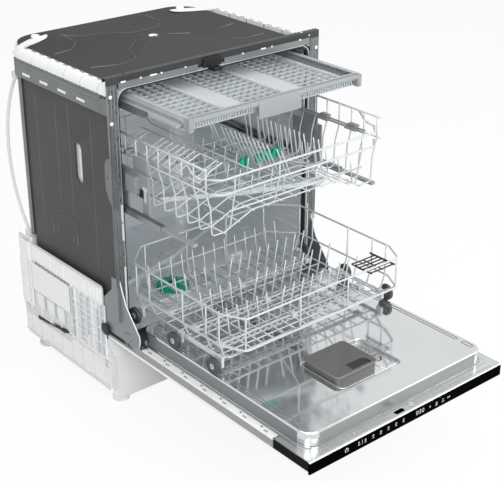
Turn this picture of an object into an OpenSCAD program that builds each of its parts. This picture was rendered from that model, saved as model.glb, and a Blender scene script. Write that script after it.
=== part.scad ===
// Integrated dishwasher, door open and racks pulled out.
// X runs across the front, Y runs to the back, Z runs up. The floor is Z = 0.
// Inside every module Y = 0 is the front plane of the cabinet.

/* [Cabinet] */
// Width over the two front columns
cabinet_w = 598; // [590:1:610]
// Height from the floor to the top of the crossbar
cabinet_h = 815; // [812:1:835]
// Distance from the front plane to the rear spacers
rear_reach = 490; // [490:1:520]
// Width of a front column seen from the front
column_w = 27; // [24:0.5:28]
// Sheet thickness of the frame
frame_t = 1.6; // [1.2:0.1:2]
// Height of the crossbar's front face
crossbar_h = 17; // [14:0.5:20]
// Depth of the crossbar's top face
crossbar_d = 14; // [12:1:20]

/* [Tub] */
// Space between the tub's inner side wall and the cabinet's side
side_space = 29; // [28.5:0.5:29.5]
// Height of the tub floor above the ground
tub_floor_z = 208; // [206:0.5:210]
// Height of the tub ceiling above the ground
tub_ceiling_z = 784; // [784:0.5:788]
// Inner face of the rear wall, from the front plane
tub_rear_y = 474; // [474:1:480]
// Sheet thickness of the tub
tub_t = 1.6; // [1.2:0.1:2]
// Radius of the four long edges of the tub
tub_r = 26; // [18:1:34]
// Radius of the two rear corners seen from above
tub_rear_r = 70; // [50:1:80]
// Thickness of the damping mats
mat_t = 6; // [4:0.5:8]

/* [Door] */
// Distance from the door's side to the cabinet's side
door_side_gap = 14; // [13:0.5:16]
// Height of the closed door
door_h = 693; // [685:1:693]
// Length of the door above the hinge axis
door_above_hinge = 610; // [605:1:611]
// Distance from the hinge axis to the outer face of the door
hinge_to_outer = 23; // [22.5:0.25:23.5]
// Distance from the hinge axis to the inner panel
hinge_to_inner = 39; // [38:0.25:39.25]
// Height of the control strip
fascia_h = 28; // [26:0.5:29]
// Gap between the raised inner panel and the tub's side wall
panel_side_gap = 8; // [6:0.5:10]
// Corner radius of the raised inner panel
inner_panel_r = 30; // [20:1:40]
// Height of the hinge axis above the floor
hinge_z = 193; // [192:0.25:194]
// Distance of the hinge axis in front of the front plane
hinge_front = 13; // [12.75:0.25:14]
// Radius of the hinge pin
hinge_pin_r = 5; // [4:0.25:6]

/* [Dispenser] */
// Width of the dispenser lid
lid_w = 122; // [110:1:126]
// Length of the dispenser lid along the door
lid_l = 110; // [100:1:114]
// Height of the lid's top above the inner panel
lid_rise = 17; // [16:0.5:18]
// Width of the whole dispenser module
dispenser_w = 173; // [170:1:180]

/* [Lower basket] */
// Distance from the lower basket's top rail to the tub's side wall
low_side_gap = 20; // [19:0.5:24]
// Front of the top rail, in front of the front plane
low_front = 359; // [355:1:360]
// Depth of the basket
low_depth = 421; // [412:1:422]
// Height of the top rail
low_top_z = 378; // [370:1:380]
// Height of the middle rail
low_mid_z = 303; // [296:1:308]
// Height of the floor wires
low_floor_z = 262; // [261:0.25:263]
// Diameter of the rail wires
rail_d = 5; // [4:0.25:5]
// Diameter of the grid wires and tines
wire_d = 3.6; // [3:0.1:4]
// Radius of the wheels
wheel_r = 20; // [19:0.25:20]
// Width of a wheel
wheel_w = 10; // [8:0.5:10]
// Length of the fold-down tines
low_tine_l = 84; // [70:1:86]

/* [Middle basket] */
// Distance from the middle basket's top rail to the tub's side wall
mid_side_gap = 25; // [25:0.5:30]
// Front of the lower front rail, in front of the front plane
mid_front = 278; // [270:1:280]
// Depth of the basket
mid_depth = 406; // [396:1:407]
// Height of the side top rails
mid_top_z = 679; // [670:1:680]
// Height of the lowest wires
mid_low_z = 530; // [528:1:534]
// Height of the raised centre of the floor
mid_floor_z = 560; // [556:1:564]
// Length of the fold-down tines
mid_tine_l = 76; // [60:1:80]
// Spacing of the middle basket's tines
mid_tine_pitch = 16; // [15:0.5:22]
// Sideways lean of the tines in each row, from foot to tip
mid_tine_leans = [34, 14];
// Reach of the cup shelf from its hinge
shelf_l = 66; // [50:1:70]
// Tilt of the cup shelf at rest
shelf_tilt = 25; // [0:1:35]

/* [Third rack] */
// Distance from the tray's rim to the tub's side wall
tray_side_gap = 30; // [29:0.5:36]
// Front edge of the tray, in front of the front plane
tray_front = 190; // [180:1:195]
// Depth of the tray
tray_depth = 410; // [400:1:412]
// Height of the tray's rim
tray_top_z = 768; // [764:1:768]
// Height of the tray's side walls
tray_h = 28; // [24:1:30]

/* [Base] */
// Height of the base floor above the ground
base_z = 42; // [38:1:46]
// Height of the plinth board's top edge
plinth_top_z = 124; // [118:1:126]
// Depth of the plinth recess behind the front plane
plinth_back = 44; // [40:1:46]

/* [Clearances] */
// Gap between faces of pieces that are fastened together
seat_gap = 0.3; // [0.2:0.05:0.4]
// Radial gap of a pin in its hole
pin_gap = 0.08; // [0.05:0.01:0.1]
// Gap under a rolling wheel
roll_gap = 0.4; // [0.3:0.05:0.5]

/* [Hidden] */
// The origin is at the middle of the whole depth with the door open
door_reach = hinge_front + door_above_hinge;
front_y = (door_reach - rear_reach) / 2;
half_w = cabinet_w / 2;
rail_front = frame_t + 2;
tub_w = cabinet_w - 2 * side_space;
tub_half = tub_w / 2;
door_w = cabinet_w - 2 * door_side_gap;
inner_panel_w = tub_w - 2 * panel_side_gap;
low_half_w = tub_half - low_side_gap;
mid_half_w = tub_half - mid_side_gap;
tray_half_w = tub_half - tray_side_gap;
foot_x = half_w - 37;
outer_half = tub_half + tub_t;
mat_in = outer_half + seat_gap;
mat_out = mat_in + mat_t;
door_half = door_w / 2;
door_out_z = hinge_z - hinge_to_outer;
door_in_z = hinge_z + hinge_to_inner;
door_mid_z = door_out_z + fascia_h;
door_front_y = -door_reach;
door_back_y = door_front_y + door_h;
panel_half = inner_panel_w / 2;
panel_front_y = door_front_y + 32;
panel_back_y = -hinge_front - 19;
hinge_y = -hinge_front;
wheel_z = door_in_z + roll_gap + wheel_r;
ledge_z = door_in_z;
ledge_y0 = 30;
wheel_x = tub_half - 6 - wheel_w;
wheel_ys = [-294, -155, -8];
low_post_y = -298;
low_y0 = -low_front;
low_y1 = low_y0 + low_depth;
mid_y0 = -mid_front;
mid_y1 = mid_y0 + mid_depth;
mid_ys = [for (i = [0 : 9]) mid_y0 + 22 + i * (mid_depth - 44) / 9];
mid_hub_y = mid_y0 + 210;
rail_y0 = 28;
rail_y1 = tub_rear_y - tub_rear_r - 2;
stage_x1 = tub_half - 5;
tray_y0 = -tray_front;
tray_y1 = tray_y0 + tray_depth;
sump_x = -60;
sump_y = 120;
sump_r = 38;
arm_y = 228;
salt_x = 165;
salt_y = 150;
salt_r = 26;
riser_w = 44;
lid_x0 = -92;
lid_y1 = -385;
plug_zs = [cabinet_h - 99, cabinet_h - 41];
row_pitch = 92;
low_row_ys = [low_y0 + 104, low_y0 + 104 + row_pitch, low_y0 + 104 + 2 * row_pitch];
low_row_z = low_floor_z + wire_d / 2 + 4.4;
low_bar_x = low_half_w - 34;
low_holder_x = low_half_w - 42;
low_wheel_x = low_half_w - 10;
low_floor_n = floor((low_half_w - 36) / 32);
mid_row_xs = [40, mid_half_w - 117];
mid_floor_x = mid_half_w - 50;
mid_ridge_x = mid_half_w - 125;
mid_row_z = mid_floor_z + wire_d / 2 + 4.4;
mid_tine_y0 = mid_y0 + 70;
mid_tine_y1 = mid_y1 - 60;
shelf_x = -mid_half_w + 18;
shelf_z = 634;
shelf_in = [shelf_x + shelf_l * cos(shelf_tilt), shelf_z + shelf_l * sin(shelf_tilt)];
hose_r = 4;
hose_chord = 400;
hose_sag = 68;
hose_z = 520;
hose_arc_r = (pow(hose_chord / 2, 2) + pow(hose_sag, 2)) / (2 * hose_sag);
hose_half_angle = asin(hose_chord / 2 / hose_arc_r);
hose_end_y = 413;
hose_x = -mat_out - 2;
axle_r = 4;
rest_x = low_half_w - 8;
rest_z = 344;
rinse_x = lid_x0 + lid_w + 24;
rinse_y = lid_y1 - lid_l + 33;
rail_z = 511;
tray_rail_z = tray_top_z - 18;
feed_z = 528;
rail_in = mid_half_w + 2;

// Places a module's front-plane coordinates in the part's frame
module at_front() {
    translate([0, front_y, 0]) children();
}

// Box between two opposite corners
module box(a, b) {
    translate(a) cube(b - a);
}

// The same box on both sides of the middle plane
module both() {
    children();
    mirror([1, 0, 0]) children();
}

// Round-cornered rectangle, w by h, centred
module round_rect(w, h, r) {
    square([w - 2 * r, h], center = true);
    square([w, h - 2 * r], center = true);
    for (x = [-1, 1], y = [-1, 1])
        translate([x * (w / 2 - r), y * (h / 2 - r)]) circle(r, $fn = 48);
}

// Straight wire from a to b with n flat sides
module wire(a, b, d, n = 8) {
    v = b - a;
    len = norm(v);
    translate(a) rotate([0, acos(v[2] / len), atan2(v[1], v[0])]) rotate([0, 0, 180 / n])
        cylinder(h = len, d = d / cos(180 / n) * 0.98, $fn = n);
}

// Wire through a list of points, each leg run on by a little so that the bends close
module wires(points, d, n = 8) {
    for (i = [0 : len(points) - 2]) {
        v = points[i + 1] - points[i];
        e = v / norm(v) * d * 0.3;
        wire(points[i] - (i > 0 ? e : 0 * e), points[i + 1] + (i < len(points) - 2 ? e : 0 * e), d, n);
    }
}

// Solid cylinder along X from x0 to x1
module rod_x(x0, x1, y, z, r, n = 48) {
    translate([x0, y, z]) rotate([0, 90, 0]) cylinder(h = x1 - x0, r = r, $fn = n);
}

// Solid cylinder along Y from y0 to y1
module rod_y(x, y0, y1, z, r, n = 48) {
    translate([x, y0, z]) rotate([-90, 0, 0]) cylinder(h = y1 - y0, r = r, $fn = n);
}

// Solid cylinder along Z from z0 to z1
module rod_z(x, y, z0, z1, r, n = 48) {
    translate([x, y, z0]) cylinder(h = z1 - z0, r = r, $fn = n);
}

// Plate in the YZ plane with an outline, from x0 to x1
module side_plate(points, x0, x1) {
    translate([x0, 0, 0]) rotate([90, 0, 90]) linear_extrude(x1 - x0) polygon(points);
}

// Tub as a solid block grown by g over its inner faces
module tub_block(g, y0) {
    zc = (tub_floor_z + tub_ceiling_z) / 2;
    intersection() {
        translate([0, tub_rear_y + g + 1, zc]) rotate([90, 0, 0]) linear_extrude(tub_rear_y + g + 1 - y0)
            round_rect(tub_w + 2 * g, tub_ceiling_z - tub_floor_z + 2 * g, tub_r + g);
        translate([0, tub_rear_y + g - 400, tub_floor_z - 20]) linear_extrude(tub_ceiling_z - tub_floor_z + 40)
            round_rect(tub_w + 2 * g + 0.1, 800, tub_rear_r + g);
    }
}

module tub() {
    color([0.66, 0.68, 0.69]) at_front() {
        difference() {
            tub_block(tub_t, frame_t + seat_gap);
            tub_block(0, -10);
            rod_z(sump_x, sump_y, tub_floor_z - 9, tub_floor_z + 9, sump_r + seat_gap);
            rod_z(salt_x, salt_y, tub_floor_z - 9, tub_floor_z + 9, salt_r + seat_gap);
            rod_z(0, tub_rear_y - 8, tub_floor_z - 9, tub_floor_z + 9, 6.3);
        }
        both() intersection() {
            tub_block(tub_t / 2, 1);
            box([wheel_x - 4, ledge_y0, tub_floor_z - 0.5], [half_w, tub_rear_y - tub_rear_r - 6, ledge_z]);
        }
    }
}

module front_columns() {
    color([0.62, 0.64, 0.65]) at_front() both() difference() {
        union() {
            box([half_w - column_w, 0, 190], [half_w - 9, frame_t, cabinet_h - crossbar_h - seat_gap]);
            box([half_w - 10, 0, 330], [half_w, frame_t, cabinet_h - crossbar_h - seat_gap]);
            side_plate([[0, 530], [10, 540], [22, 562], [22, 620], [15, 634], [0, 640]],
                half_w - frame_t, half_w);
            side_plate([[0, 740], [30, 752], [30, 766], [0, 772]], half_w - frame_t, half_w);
        }
        for (z = plug_zs)
            rod_y(half_w - 9, -1, frame_t + 1, z, 2.5);
        box([door_half + 1.9, -1, 180], [door_half + 5.5, frame_t + 1, 347]);
        rod_x(half_w - frame_t - 1, half_w + 1, 13, 592, 2.5);
    }
}

module top_crossbar() {
    color([0.72, 0.74, 0.75]) at_front() difference() {
        union() {
            box([-half_w, 0, cabinet_h - crossbar_h], [half_w, frame_t, cabinet_h]);
            box([-half_w, 0, cabinet_h - frame_t], [half_w, crossbar_d, cabinet_h]);
            box([-half_w, crossbar_d - frame_t, cabinet_h - 10], [half_w, crossbar_d, cabinet_h]);
        }
        both() rod_z(half_w - 49, crossbar_d / 2, cabinet_h - 5, cabinet_h + 1, 3);
        both() rod_y(half_w - 30, -1, frame_t + 1, cabinet_h - crossbar_h / 2, 2.5);
    }
}

module hinge_brackets() {
    x0 = door_half + 2.2;
    color([0.5, 0.54, 0.57]) at_front() both() difference() {
        union() {
            side_plate([[3, 345], [0, 335], [-18, 290], [hinge_y - 53, 232], [hinge_y - 55, 218],
                [hinge_y - 41, 190], [-20, 150], [34, 130], [70, 174], [70, 280], [36, 312], [34, 345]],
                x0, x0 + 3);
            box([x0 + 2, 3, 240], [half_w - frame_t - seat_gap, 6, 340]);
        }
        rod_x(x0 - 1, x0 + 4, hinge_y, hinge_z, hinge_pin_r + pin_gap);
        rod_x(x0 - 1, x0 + 4, 14, 300, 4);
    }
}

module wall_mats() {
    y0 = tub_rear_y + tub_t + seat_gap;
    w = tub_half - tub_rear_r - 4;
    color([0.31, 0.31, 0.3]) at_front() both() difference() {
        side_plate([[14, 250], [60, 232], [300, 232], [385, 262], [385, 728], [14, 728]], mat_in, mat_out);
        for (z = [-34, 34]) rod_x(mat_in - 1, mat_out + 1, 162, 576 + z, 15);
        box([mat_in - 1, 147, 542], [mat_out + 1, 177, 610]);
    }
    color([0.31, 0.31, 0.3]) at_front() difference() {
        union() {
            box([-w, y0, 320], [w, y0 + mat_t, 760]);
            both() box([110, y0 + 1, 690], [150, rear_reach, 730]);
        }
        for (x = [-60, 60]) rod_y(x, y0 - 1, y0 + mat_t + 1, 700, 20);
    }
}

module top_mat() {
    z0 = tub_ceiling_z + tub_t + seat_gap;
    color([0.37, 0.37, 0.37]) at_front() difference() {
        intersection() {
            translate([0, tub_rear_y - 400, z0]) linear_extrude(mat_t) round_rect(tub_w - 12, 800, tub_rear_r);
            box([-tub_half, crossbar_d + 4, z0 - 1], [tub_half, tub_rear_y, z0 + mat_t + 1]);
        }
        rod_z(20, 277, z0 - 1, z0 + mat_t + 1, 11);
    }
}

module edge_rails() {
    z0 = 776;
    color([0.93, 0.93, 0.92]) at_front() both() difference() {
        union() {
            box([outer_half + 3, rail_front, z0], [half_w, 372, z0 + 22]);
            box([outer_half + 3, 366, z0 + 6], [half_w - 4, 398, z0 + 12]);
            rod_z(half_w - 16, 398, z0 + 6, z0 + 12, 12);
        }
        rod_z(half_w - 16, 398, z0, z0 + 20, 6);
        for (i = [0 : 9]) box([half_w - 1.2, 34 + i * 34, z0 - 1], [half_w + 1, 35.6 + i * 34, z0 + 23]);
        for (i = [-1 : 8]) box([outer_half + 6, 41 + i * 34, z0 + 16], [half_w - 4, 60 + i * 34, z0 + 23]);
    }
}

module side_channels() {
    z0 = 732;
    color([0.6, 0.61, 0.62]) at_front() both() difference() {
        union() {
            box([mat_in, rail_front, z0], [half_w - 2, 384, z0 + 2]);
            box([half_w - 4, rail_front, z0], [half_w - 2, 384, z0 + 43.6]);
            box([mat_in, rail_front, z0], [mat_in + 2, 384, z0 + 43.6]);
        }
        for (i = [0 : 3]) box([half_w - 5, 88 + i * 76, z0 + 8], [half_w, 124 + i * 76, z0 + 15]);
    }
}

module rear_strips() {
    color([0.58, 0.59, 0.59]) at_front() both() {
        box([mat_in, 386, 320], [mat_out + 4, 388, 775]);
        box([mat_out + 2, 386, 320], [mat_out + 4, 400, 775]);
        box([mat_in, 386, 320], [mat_in + 2, 392, 775]);
    }
}

// Black rods along the foot of the base and the rubber stops at the hinge
module spring_rods() {
    color([0.1, 0.1, 0.1]) at_front() both() {
        rod_y(half_w - 4.5, 238, 373, 100, 3.2);
        rod_x(door_half + 5.2 + seat_gap, half_w - 1, 60, 200, 9);
    }
}

// Hose that bows out behind the left rear edge, an arc between two clips
module bowed_hose() {
    color([0.85, 0.86, 0.84]) at_front() {
        translate([hose_x, hose_end_y + hose_sag - hose_arc_r, hose_z]) rotate([0, 0, 90]) rotate([90, 0, 0])
            rotate([0, 0, -hose_half_angle]) rotate_extrude(angle = 2 * hose_half_angle, $fn = 180)
            translate([hose_arc_r, 0]) circle(hose_r, $fn = 24);
        for (s = [-1, 1])
            box([hose_x - 7, 400 + seat_gap, hose_z + s * (hose_chord / 2 + 3) - 8],
                [hose_x + 6, hose_end_y + 8, hose_z + s * (hose_chord / 2 + 3) + 8]);
    }
}

module door_seal() {
    w = tub_half - seat_gap;
    zt = tub_ceiling_z - seat_gap;
    color([0.1, 0.1, 0.1]) at_front() difference() {
        box([-w, 4, ledge_z + 2], [w, 15, zt]);
        box([-w + 4, 3, ledge_z], [w - 4, 16, zt - 4]);
        difference() {
            box([-w - 1, 3, tub_ceiling_z - tub_r - 1], [w + 1, 16, zt + 1]);
            both() rod_y(w - tub_r, 2, 17, zt - tub_r, tub_r);
            box([-w + tub_r, 2, tub_ceiling_z - tub_r - 2], [w - tub_r, 17, zt + 2]);
        }
    }
}

module door_lock() {
    z0 = cabinet_h - crossbar_h;
    color([0.12, 0.12, 0.12]) at_front() difference() {
        union() {
            box([-48, -4, z0 - 8], [2, -seat_gap, z0 + 12]);
            box([-34, -26, z0 - 14], [-12, -3, z0 - 5]);
            box([-44, frame_t + seat_gap, z0 - 6], [-2, crossbar_d - frame_t - seat_gap, z0 + 12]);
            box([-40, -2, z0 - 8], [-6, 4, z0 - seat_gap]);
        }
        box([-30, -20, z0 - 16], [-16, -10, z0 - 4]);
    }
}

module column_plugs() {
    color([0.95, 0.95, 0.95]) at_front() both() {
        for (z = plug_zs) {
            rod_y(half_w - 9, -seat_gap - 1.2, rail_front - seat_gap, z, 2.4);
            rod_y(half_w - 9, -seat_gap - 1.5, -seat_gap, z, 4);
        }
    }
}

module base_tray() {
    x = half_w - 2;
    color([0.93, 0.93, 0.93]) at_front() difference() {
        union() {
            box([-x, 52, base_z], [x, 440, base_z + 4]);
            box([-x, 56, base_z], [x, 60, 112]);
            box([-x, 430, base_z], [x, 434, 196]);
            both() {
                side_plate([[38, base_z], [434, base_z], [448, 120], [448, 309], [398, 309], [388, 301],
                    [80, 303], [74, 297], [74, 166], [36, 118]], x - 8, x - 5);
                for (y = [70, 118, 166, 214, 262, 310, 358, 406])
                    box([x - 6, y, base_z], [x, y + 3, 110 + (y > 150 ? 20 : 0)]);
                box([x - 6, 60, 108], [x, 432, 111]);
                box([x - 6, 60, base_z], [x, 432, base_z + 4]);
            }
            for (x = [-1, 1], y = [64, 400]) rod_z(x * foot_x, y, base_z, base_z + 26, 12.5);
        }
        both() rod_y(half_w - 4.5, 235, 376, 100, 3.6);
        for (x = [-1, 1], y = [64, 400]) rod_z(x * foot_x, y, base_z - 1, base_z + 30, 7 + pin_gap);
        box([180, 428, 90], [240, 450, 140]);
        rod_y(210, 420, 460, 160, 14);
        rod_y(-210, 420, 460, 120, 11);
        rod_y(-120, 420, 460, 90, 10);
    }
}

module plinth() {
    w = half_w - 12;
    color([0.92, 0.93, 0.93]) at_front() {
        difference() {
            box([-w, plinth_back, 10], [w, plinth_back + 6, plinth_top_z]);
            both() rod_y(200, plinth_back - 1, plinth_back + 7, 80, 3);
        }
        both() box([180, plinth_back + 5, 60], [190, 56 - seat_gap, 100]);
    }
}

module levelling_feet() {
    color([0.2, 0.2, 0.2]) at_front() for (x = [-foot_x, foot_x], y = [64, 400]) {
        rod_z(x, y, 0, 9, 20);
        rod_z(x, y, 8, base_z + 30, 7);
    }
}

module sump() {
    color([0.25, 0.26, 0.27]) at_front() difference() {
        union() {
            rod_z(sump_x, sump_y, 120, tub_floor_z - tub_t - seat_gap, sump_r + 8);
            rod_z(sump_x, sump_y, 192, tub_floor_z - tub_t - seat_gap, sump_r + 10);
            rod_x(sump_x, sump_x + 90, sump_y + 10, 145, 16);
            rod_x(sump_x - 90, sump_x, sump_y + 10, 145, 14);
            rod_z(0, arm_y, 196, tub_floor_z - tub_t - seat_gap, 24);
            box([-60, 120, 196], [0, arm_y, tub_floor_z - tub_t - seat_gap - 1]);
        }
        rod_z(sump_x, sump_y, 124, 220, sump_r);
        rod_x(sump_x, sump_x + 100, sump_y + 10, 145, 12);
        rod_x(sump_x - 100, sump_x, sump_y + 10, 145, 10);
    }
}

module circulation_pump() {
    x0 = sump_x + 90 + seat_gap;
    color([0.3, 0.31, 0.33]) at_front() {
        rod_x(x0, x0 + 26, sump_y + 10, 145, 30);
        rod_x(x0 + 25, x0 + 95, sump_y + 10, 145, 26);
        box([x0 + 30, sump_y - 10, base_z + 4 + seat_gap], [x0 + 80, sump_y + 30, 122]);
    }
}

module drain_pump() {
    x1 = sump_x - 90 - seat_gap;
    color([0.35, 0.36, 0.37]) at_front() {
        rod_x(x1 - 24, x1, sump_y + 10, 145, 22);
        rod_x(x1 - 70, x1 - 23, sump_y + 10, 145, 18);
        box([x1 - 60, sump_y - 4, base_z + 4 + seat_gap], [x1 - 20, sump_y + 24, 130]);
    }
}

module softener() {
    zt = tub_floor_z - tub_t - seat_gap;
    color([0.88, 0.89, 0.9]) at_front() difference() {
        union() {
            box([130, 115, base_z + 4 + seat_gap], [foot_x, 300, 150]);
            rod_z(salt_x, salt_y, 140, zt, salt_r + 4);
        }
        rod_z(salt_x, salt_y, 60, zt + 2, salt_r - 2);
    }
}

module inlet_valve() {
    color([0.9, 0.9, 0.88]) at_front() difference() {
        union() {
            rod_y(210, 400, rear_reach - 20, 160, 13);
            box([188, 380, 142], [232, 430 - seat_gap, 182]);
        }
        rod_y(210, 440, rear_reach, 160, 9);
    }
}

module water_pipes() {
    y1 = tub_rear_y - seat_gap;
    y0 = tub_rear_y - 14;
    color([0.78, 0.8, 0.81]) at_front() difference() {
        union() {
            box([-riser_w / 2, y0, tub_floor_z + seat_gap], [riser_w / 2, y1, tub_ceiling_z - seat_gap]);
            box([-14, 214, tub_ceiling_z - 4], [14, y1, tub_ceiling_z - seat_gap]);
            rod_z(0, arm_y, tub_ceiling_z - 8, tub_ceiling_z - 1, 16);
            rod_z(0, arm_y, tub_ceiling_z - 14.4, tub_ceiling_z - 7, 3.9);
            rod_z(0, arm_y, tub_ceiling_z - 14.6, tub_ceiling_z - 13.4, 7);
            rod_z(0, arm_y, tub_floor_z + seat_gap, 247, 11.6);
            rod_z(0, arm_y, tub_floor_z + seat_gap, 232, 18);
            rod_z(0, arm_y, 244.6, 247, 15);
            rod_z(0, tub_rear_y - 8, 150, tub_floor_z + 4, 6);
            rod_y(0, y0 - 6, y0 + 1, feed_z, 13);
        }
        rod_z(0, tub_rear_y - 8, 140, 770, 3.5);
        rod_y(0, y0 - 7, y0 + 4, feed_z, 9);
    }
}

module counterweight() {
    color([0.4, 0.4, 0.4]) at_front() difference() {
        box([-150, 340, base_z + 4 + seat_gap], [150, 425, 96]);
        both() rod_z(120, 380, base_z, 100, 5);
    }
}

module fine_filter() {
    z = tub_floor_z + seat_gap;
    color([0.7, 0.71, 0.72]) at_front() difference() {
        translate([sump_x + 20, sump_y + 16, z]) linear_extrude(1.2) round_rect(180, 130, 30);
        rod_z(sump_x, sump_y, z - 1, z + 3, sump_r - 1);
    }
}

module filter_cup() {
    color([0.1, 0.6, 0.5]) at_front() difference() {
        union() {
            rod_z(sump_x, sump_y, 140, tub_floor_z + 10, sump_r - 3);
            rod_z(sump_x, sump_y, tub_floor_z + 1.8, tub_floor_z + 5, sump_r + 3);
            for (a = [0, 60, 120]) translate([sump_x, sump_y, tub_floor_z + 12]) rotate([0, 0, a])
                cube([2 * sump_r - 10, 6, 8], center = true);
        }
        rod_z(sump_x, sump_y, 142, tub_floor_z + 6, sump_r - 6);
        rod_z(sump_x, sump_y, tub_floor_z, tub_floor_z + 30, 14);
    }
}

module salt_cap() {
    color([0.9, 0.9, 0.9]) at_front() {
        rod_z(salt_x, salt_y, 190, tub_floor_z + 3, salt_r - 3);
        rod_z(salt_x, salt_y, tub_floor_z + seat_gap, tub_floor_z + 5, salt_r + 3);
        box([salt_x - 18, salt_y - 3, tub_floor_z + 4], [salt_x + 18, salt_y + 3, tub_floor_z + 12]);
    }
}

// Spray arm with two tapered blades, hub axis at the origin
module spray_arm(r, w, t, hub_r, bore_r) {
    difference() {
        union() {
            cylinder(h = t, r = hub_r, $fn = 48);
            linear_extrude(t) polygon([[-r + 14, -w / 4], [-hub_r, -w / 2], [hub_r, -w / 2], [r - 14, -w / 4],
                [r, 0], [r - 14, w / 4], [hub_r, w / 2], [-hub_r, w / 2], [-r + 14, w / 4], [-r, 0]]);
        }
        translate([0, 0, -1]) cylinder(h = t + 2, r = bore_r, $fn = 48);
        for (s = [-1, 1], i = [1 : 4])
            translate([s * (hub_r + i * (r - hub_r) / 5), s * 4, t - 3]) cylinder(h = 4, r = 2, $fn = 8);
    }
}

module lower_arm() {
    color([0.75, 0.77, 0.78]) at_front() {
        translate([0, arm_y, 233]) rotate([0, 0, 20]) spray_arm(222, 46, 11, 26, 12);
    }
}

module top_arm() {
    color([0.75, 0.77, 0.78]) at_front() translate([0, arm_y, tub_ceiling_z - 13]) rotate([0, 0, 35])
        spray_arm(120, 30, 4.6, 16, 4);
}

// One pair of channel profiles along Y at height z, h high, open towards the middle
module rail_pair(x0, y0, y1, z, h) {
    both() difference() {
        box([x0, y0, z - h / 2], [tub_half - seat_gap, y1, z + h / 2]);
        box([x0 - 1, y0 - 1, z - h / 2 + 2], [stage_x1 + 0.5, y1 + 1, z + h / 2 - 2]);
    }
}

module middle_rail_outer() {
    color([0.5, 0.51, 0.52]) at_front() rail_pair(rail_in + 12, rail_y0, rail_y1, rail_z, 17);
}

module middle_rail_stage() {
    color([0.25, 0.26, 0.27]) at_front() both() difference() {
        box([rail_in + 6, mid_y0 + 150, rail_z - 6], [stage_x1, mid_y0 + 528, rail_z + 6]);
        box([rail_in + 5, mid_y0 + 149, rail_z - 4], [stage_x1 - 1.6, mid_y0 + 529, rail_z + 4]);
    }
}

module side_carriers() {
    color([0.6, 0.61, 0.62]) at_front() both() {
        box([rail_in + 4, mid_y0 + 40, rail_z - 3.4], [stage_x1 - 2, mid_y1 - 28, rail_z + 3.4]);
        box([rail_in + 0.6, mid_y0 + 208, rail_z + 41], [rail_in + 5, mid_y0 + 308, 608]);
        for (y = [mid_y0 + 208, mid_y0 + 284])
            box([rail_in + 0.6, y, rail_z - 3.4], [rail_in + 5, y + 24, rail_z + 42]);
        box([rail_in + 4, mid_y0 + 240, rail_z + 49], [stage_x1 - 1, mid_y0 + 276, 600]);
    }
}

// Middle basket

// Outline of one side wire of the middle basket, from the top rail to the floor
function side_wire(y, s) = [[s * mid_half_w, y, mid_top_z], [s * mid_half_w, y, 628],
    [s * (mid_half_w - 14), y, 592], [s * (mid_half_w - 17), y, mid_low_z],
    [s * mid_floor_x, y, mid_low_z]];

// Height of the middle basket's floor at x
function mid_floor_at(x) = abs(x) < mid_ridge_x ? mid_floor_z
    : mid_floor_z - (abs(x) - mid_ridge_x) / (mid_floor_x - mid_ridge_x) * (mid_floor_z - mid_low_z);

module middle_basket() {
    color([0.8, 0.82, 0.83]) at_front() {
        for (s = [-1, 1]) {
            wire([s * mid_half_w, mid_y0 + 16, mid_top_z], [s * mid_half_w, mid_y1 - 10, mid_top_z], rail_d);
            wire([s * mid_half_w, mid_y0 + 10, 632], [s * mid_half_w, mid_y1 - 10, 632], wire_d);
            for (y = mid_ys) wires(side_wire(y, s), wire_d, 6);
        }
        for (z = [mid_top_z - 24, 623])
            wires([[-mid_half_w, mid_y0 + 34, z], [-mid_half_w + 30, mid_y0 + 2, z],
                [mid_half_w - 30, mid_y0 + 2, z], [mid_half_w, mid_y0 + 34, z]], rail_d);
        wire([5 - mid_floor_x, mid_ys[0] - 8, 577], [mid_floor_x - 5, mid_ys[0] - 8, 577], rail_d - 0.7);
        wire([-mid_half_w - 0.6, mid_y1 - 12, mid_top_z - 2.9], [mid_half_w + 0.6, mid_y1 - 12, mid_top_z - 2.9],
            rail_d - 0.7, 6);
        for (x = [15 - mid_floor_x, -60, 60, mid_floor_x - 15]) {
            wires([[x, mid_y0 + 2, mid_top_z - 24], [x, mid_y0 + 2, 623], [x, mid_ys[0], mid_floor_at(x) - 1]],
                wire_d, 6);
            wires([[x, mid_y1 - 12, mid_top_z - 2.9], [x, mid_ys[9], mid_floor_at(x) - 1]], wire_d, 6);
        }
        for (y = mid_ys) wires([[-mid_floor_x, y, mid_low_z], [-mid_ridge_x, y, mid_floor_z],
            [mid_ridge_x, y, mid_floor_z], [mid_floor_x, y, mid_low_z]], wire_d, 6);
        for (i = [-5 : 5]) let (x = i * mid_floor_x / 5)
            wire([x, mid_y0 + 20, mid_floor_at(x) - 2.6], [x, mid_y1 - 12, mid_floor_at(x) - 2.6], wire_d, 6);
        for (x = mid_row_xs, y = [mid_ys[2], mid_ys[7]]) difference() {
            box([x - 8, y - 5, mid_floor_z + 0.6], [x + 8, y + 5, mid_row_z + 5]);
            rod_y(x, y - 6, y + 6, mid_row_z, 2.5 + pin_gap);
        }
        for (y = [mid_ys[2], mid_ys[7]]) difference() {
            box([-mid_half_w, y - 5, shelf_z - 6], [shelf_x + 6, y + 5, shelf_z + 6]);
            rod_y(shelf_x, y - 6, y + 6, shelf_z, 2 + pin_gap);
        }
        rod_y(0, mid_hub_y - 10, mid_y1 - 1, feed_z, 8);
        for (y = [mid_ys[6], mid_ys[8]]) box([-5, y - 5, feed_z + 4], [5, y + 5, mid_floor_z - 0.5]);
        rod_z(0, mid_hub_y, 504.5, feed_z, 6);
        rod_z(0, mid_hub_y, 503.6, 505.6, 9);
        both() box([mid_half_w - 1.1, mid_ys[5] - 6, 586], [rail_in + 0.3, mid_ys[6] + 6, 638]);
    }
}

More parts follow.
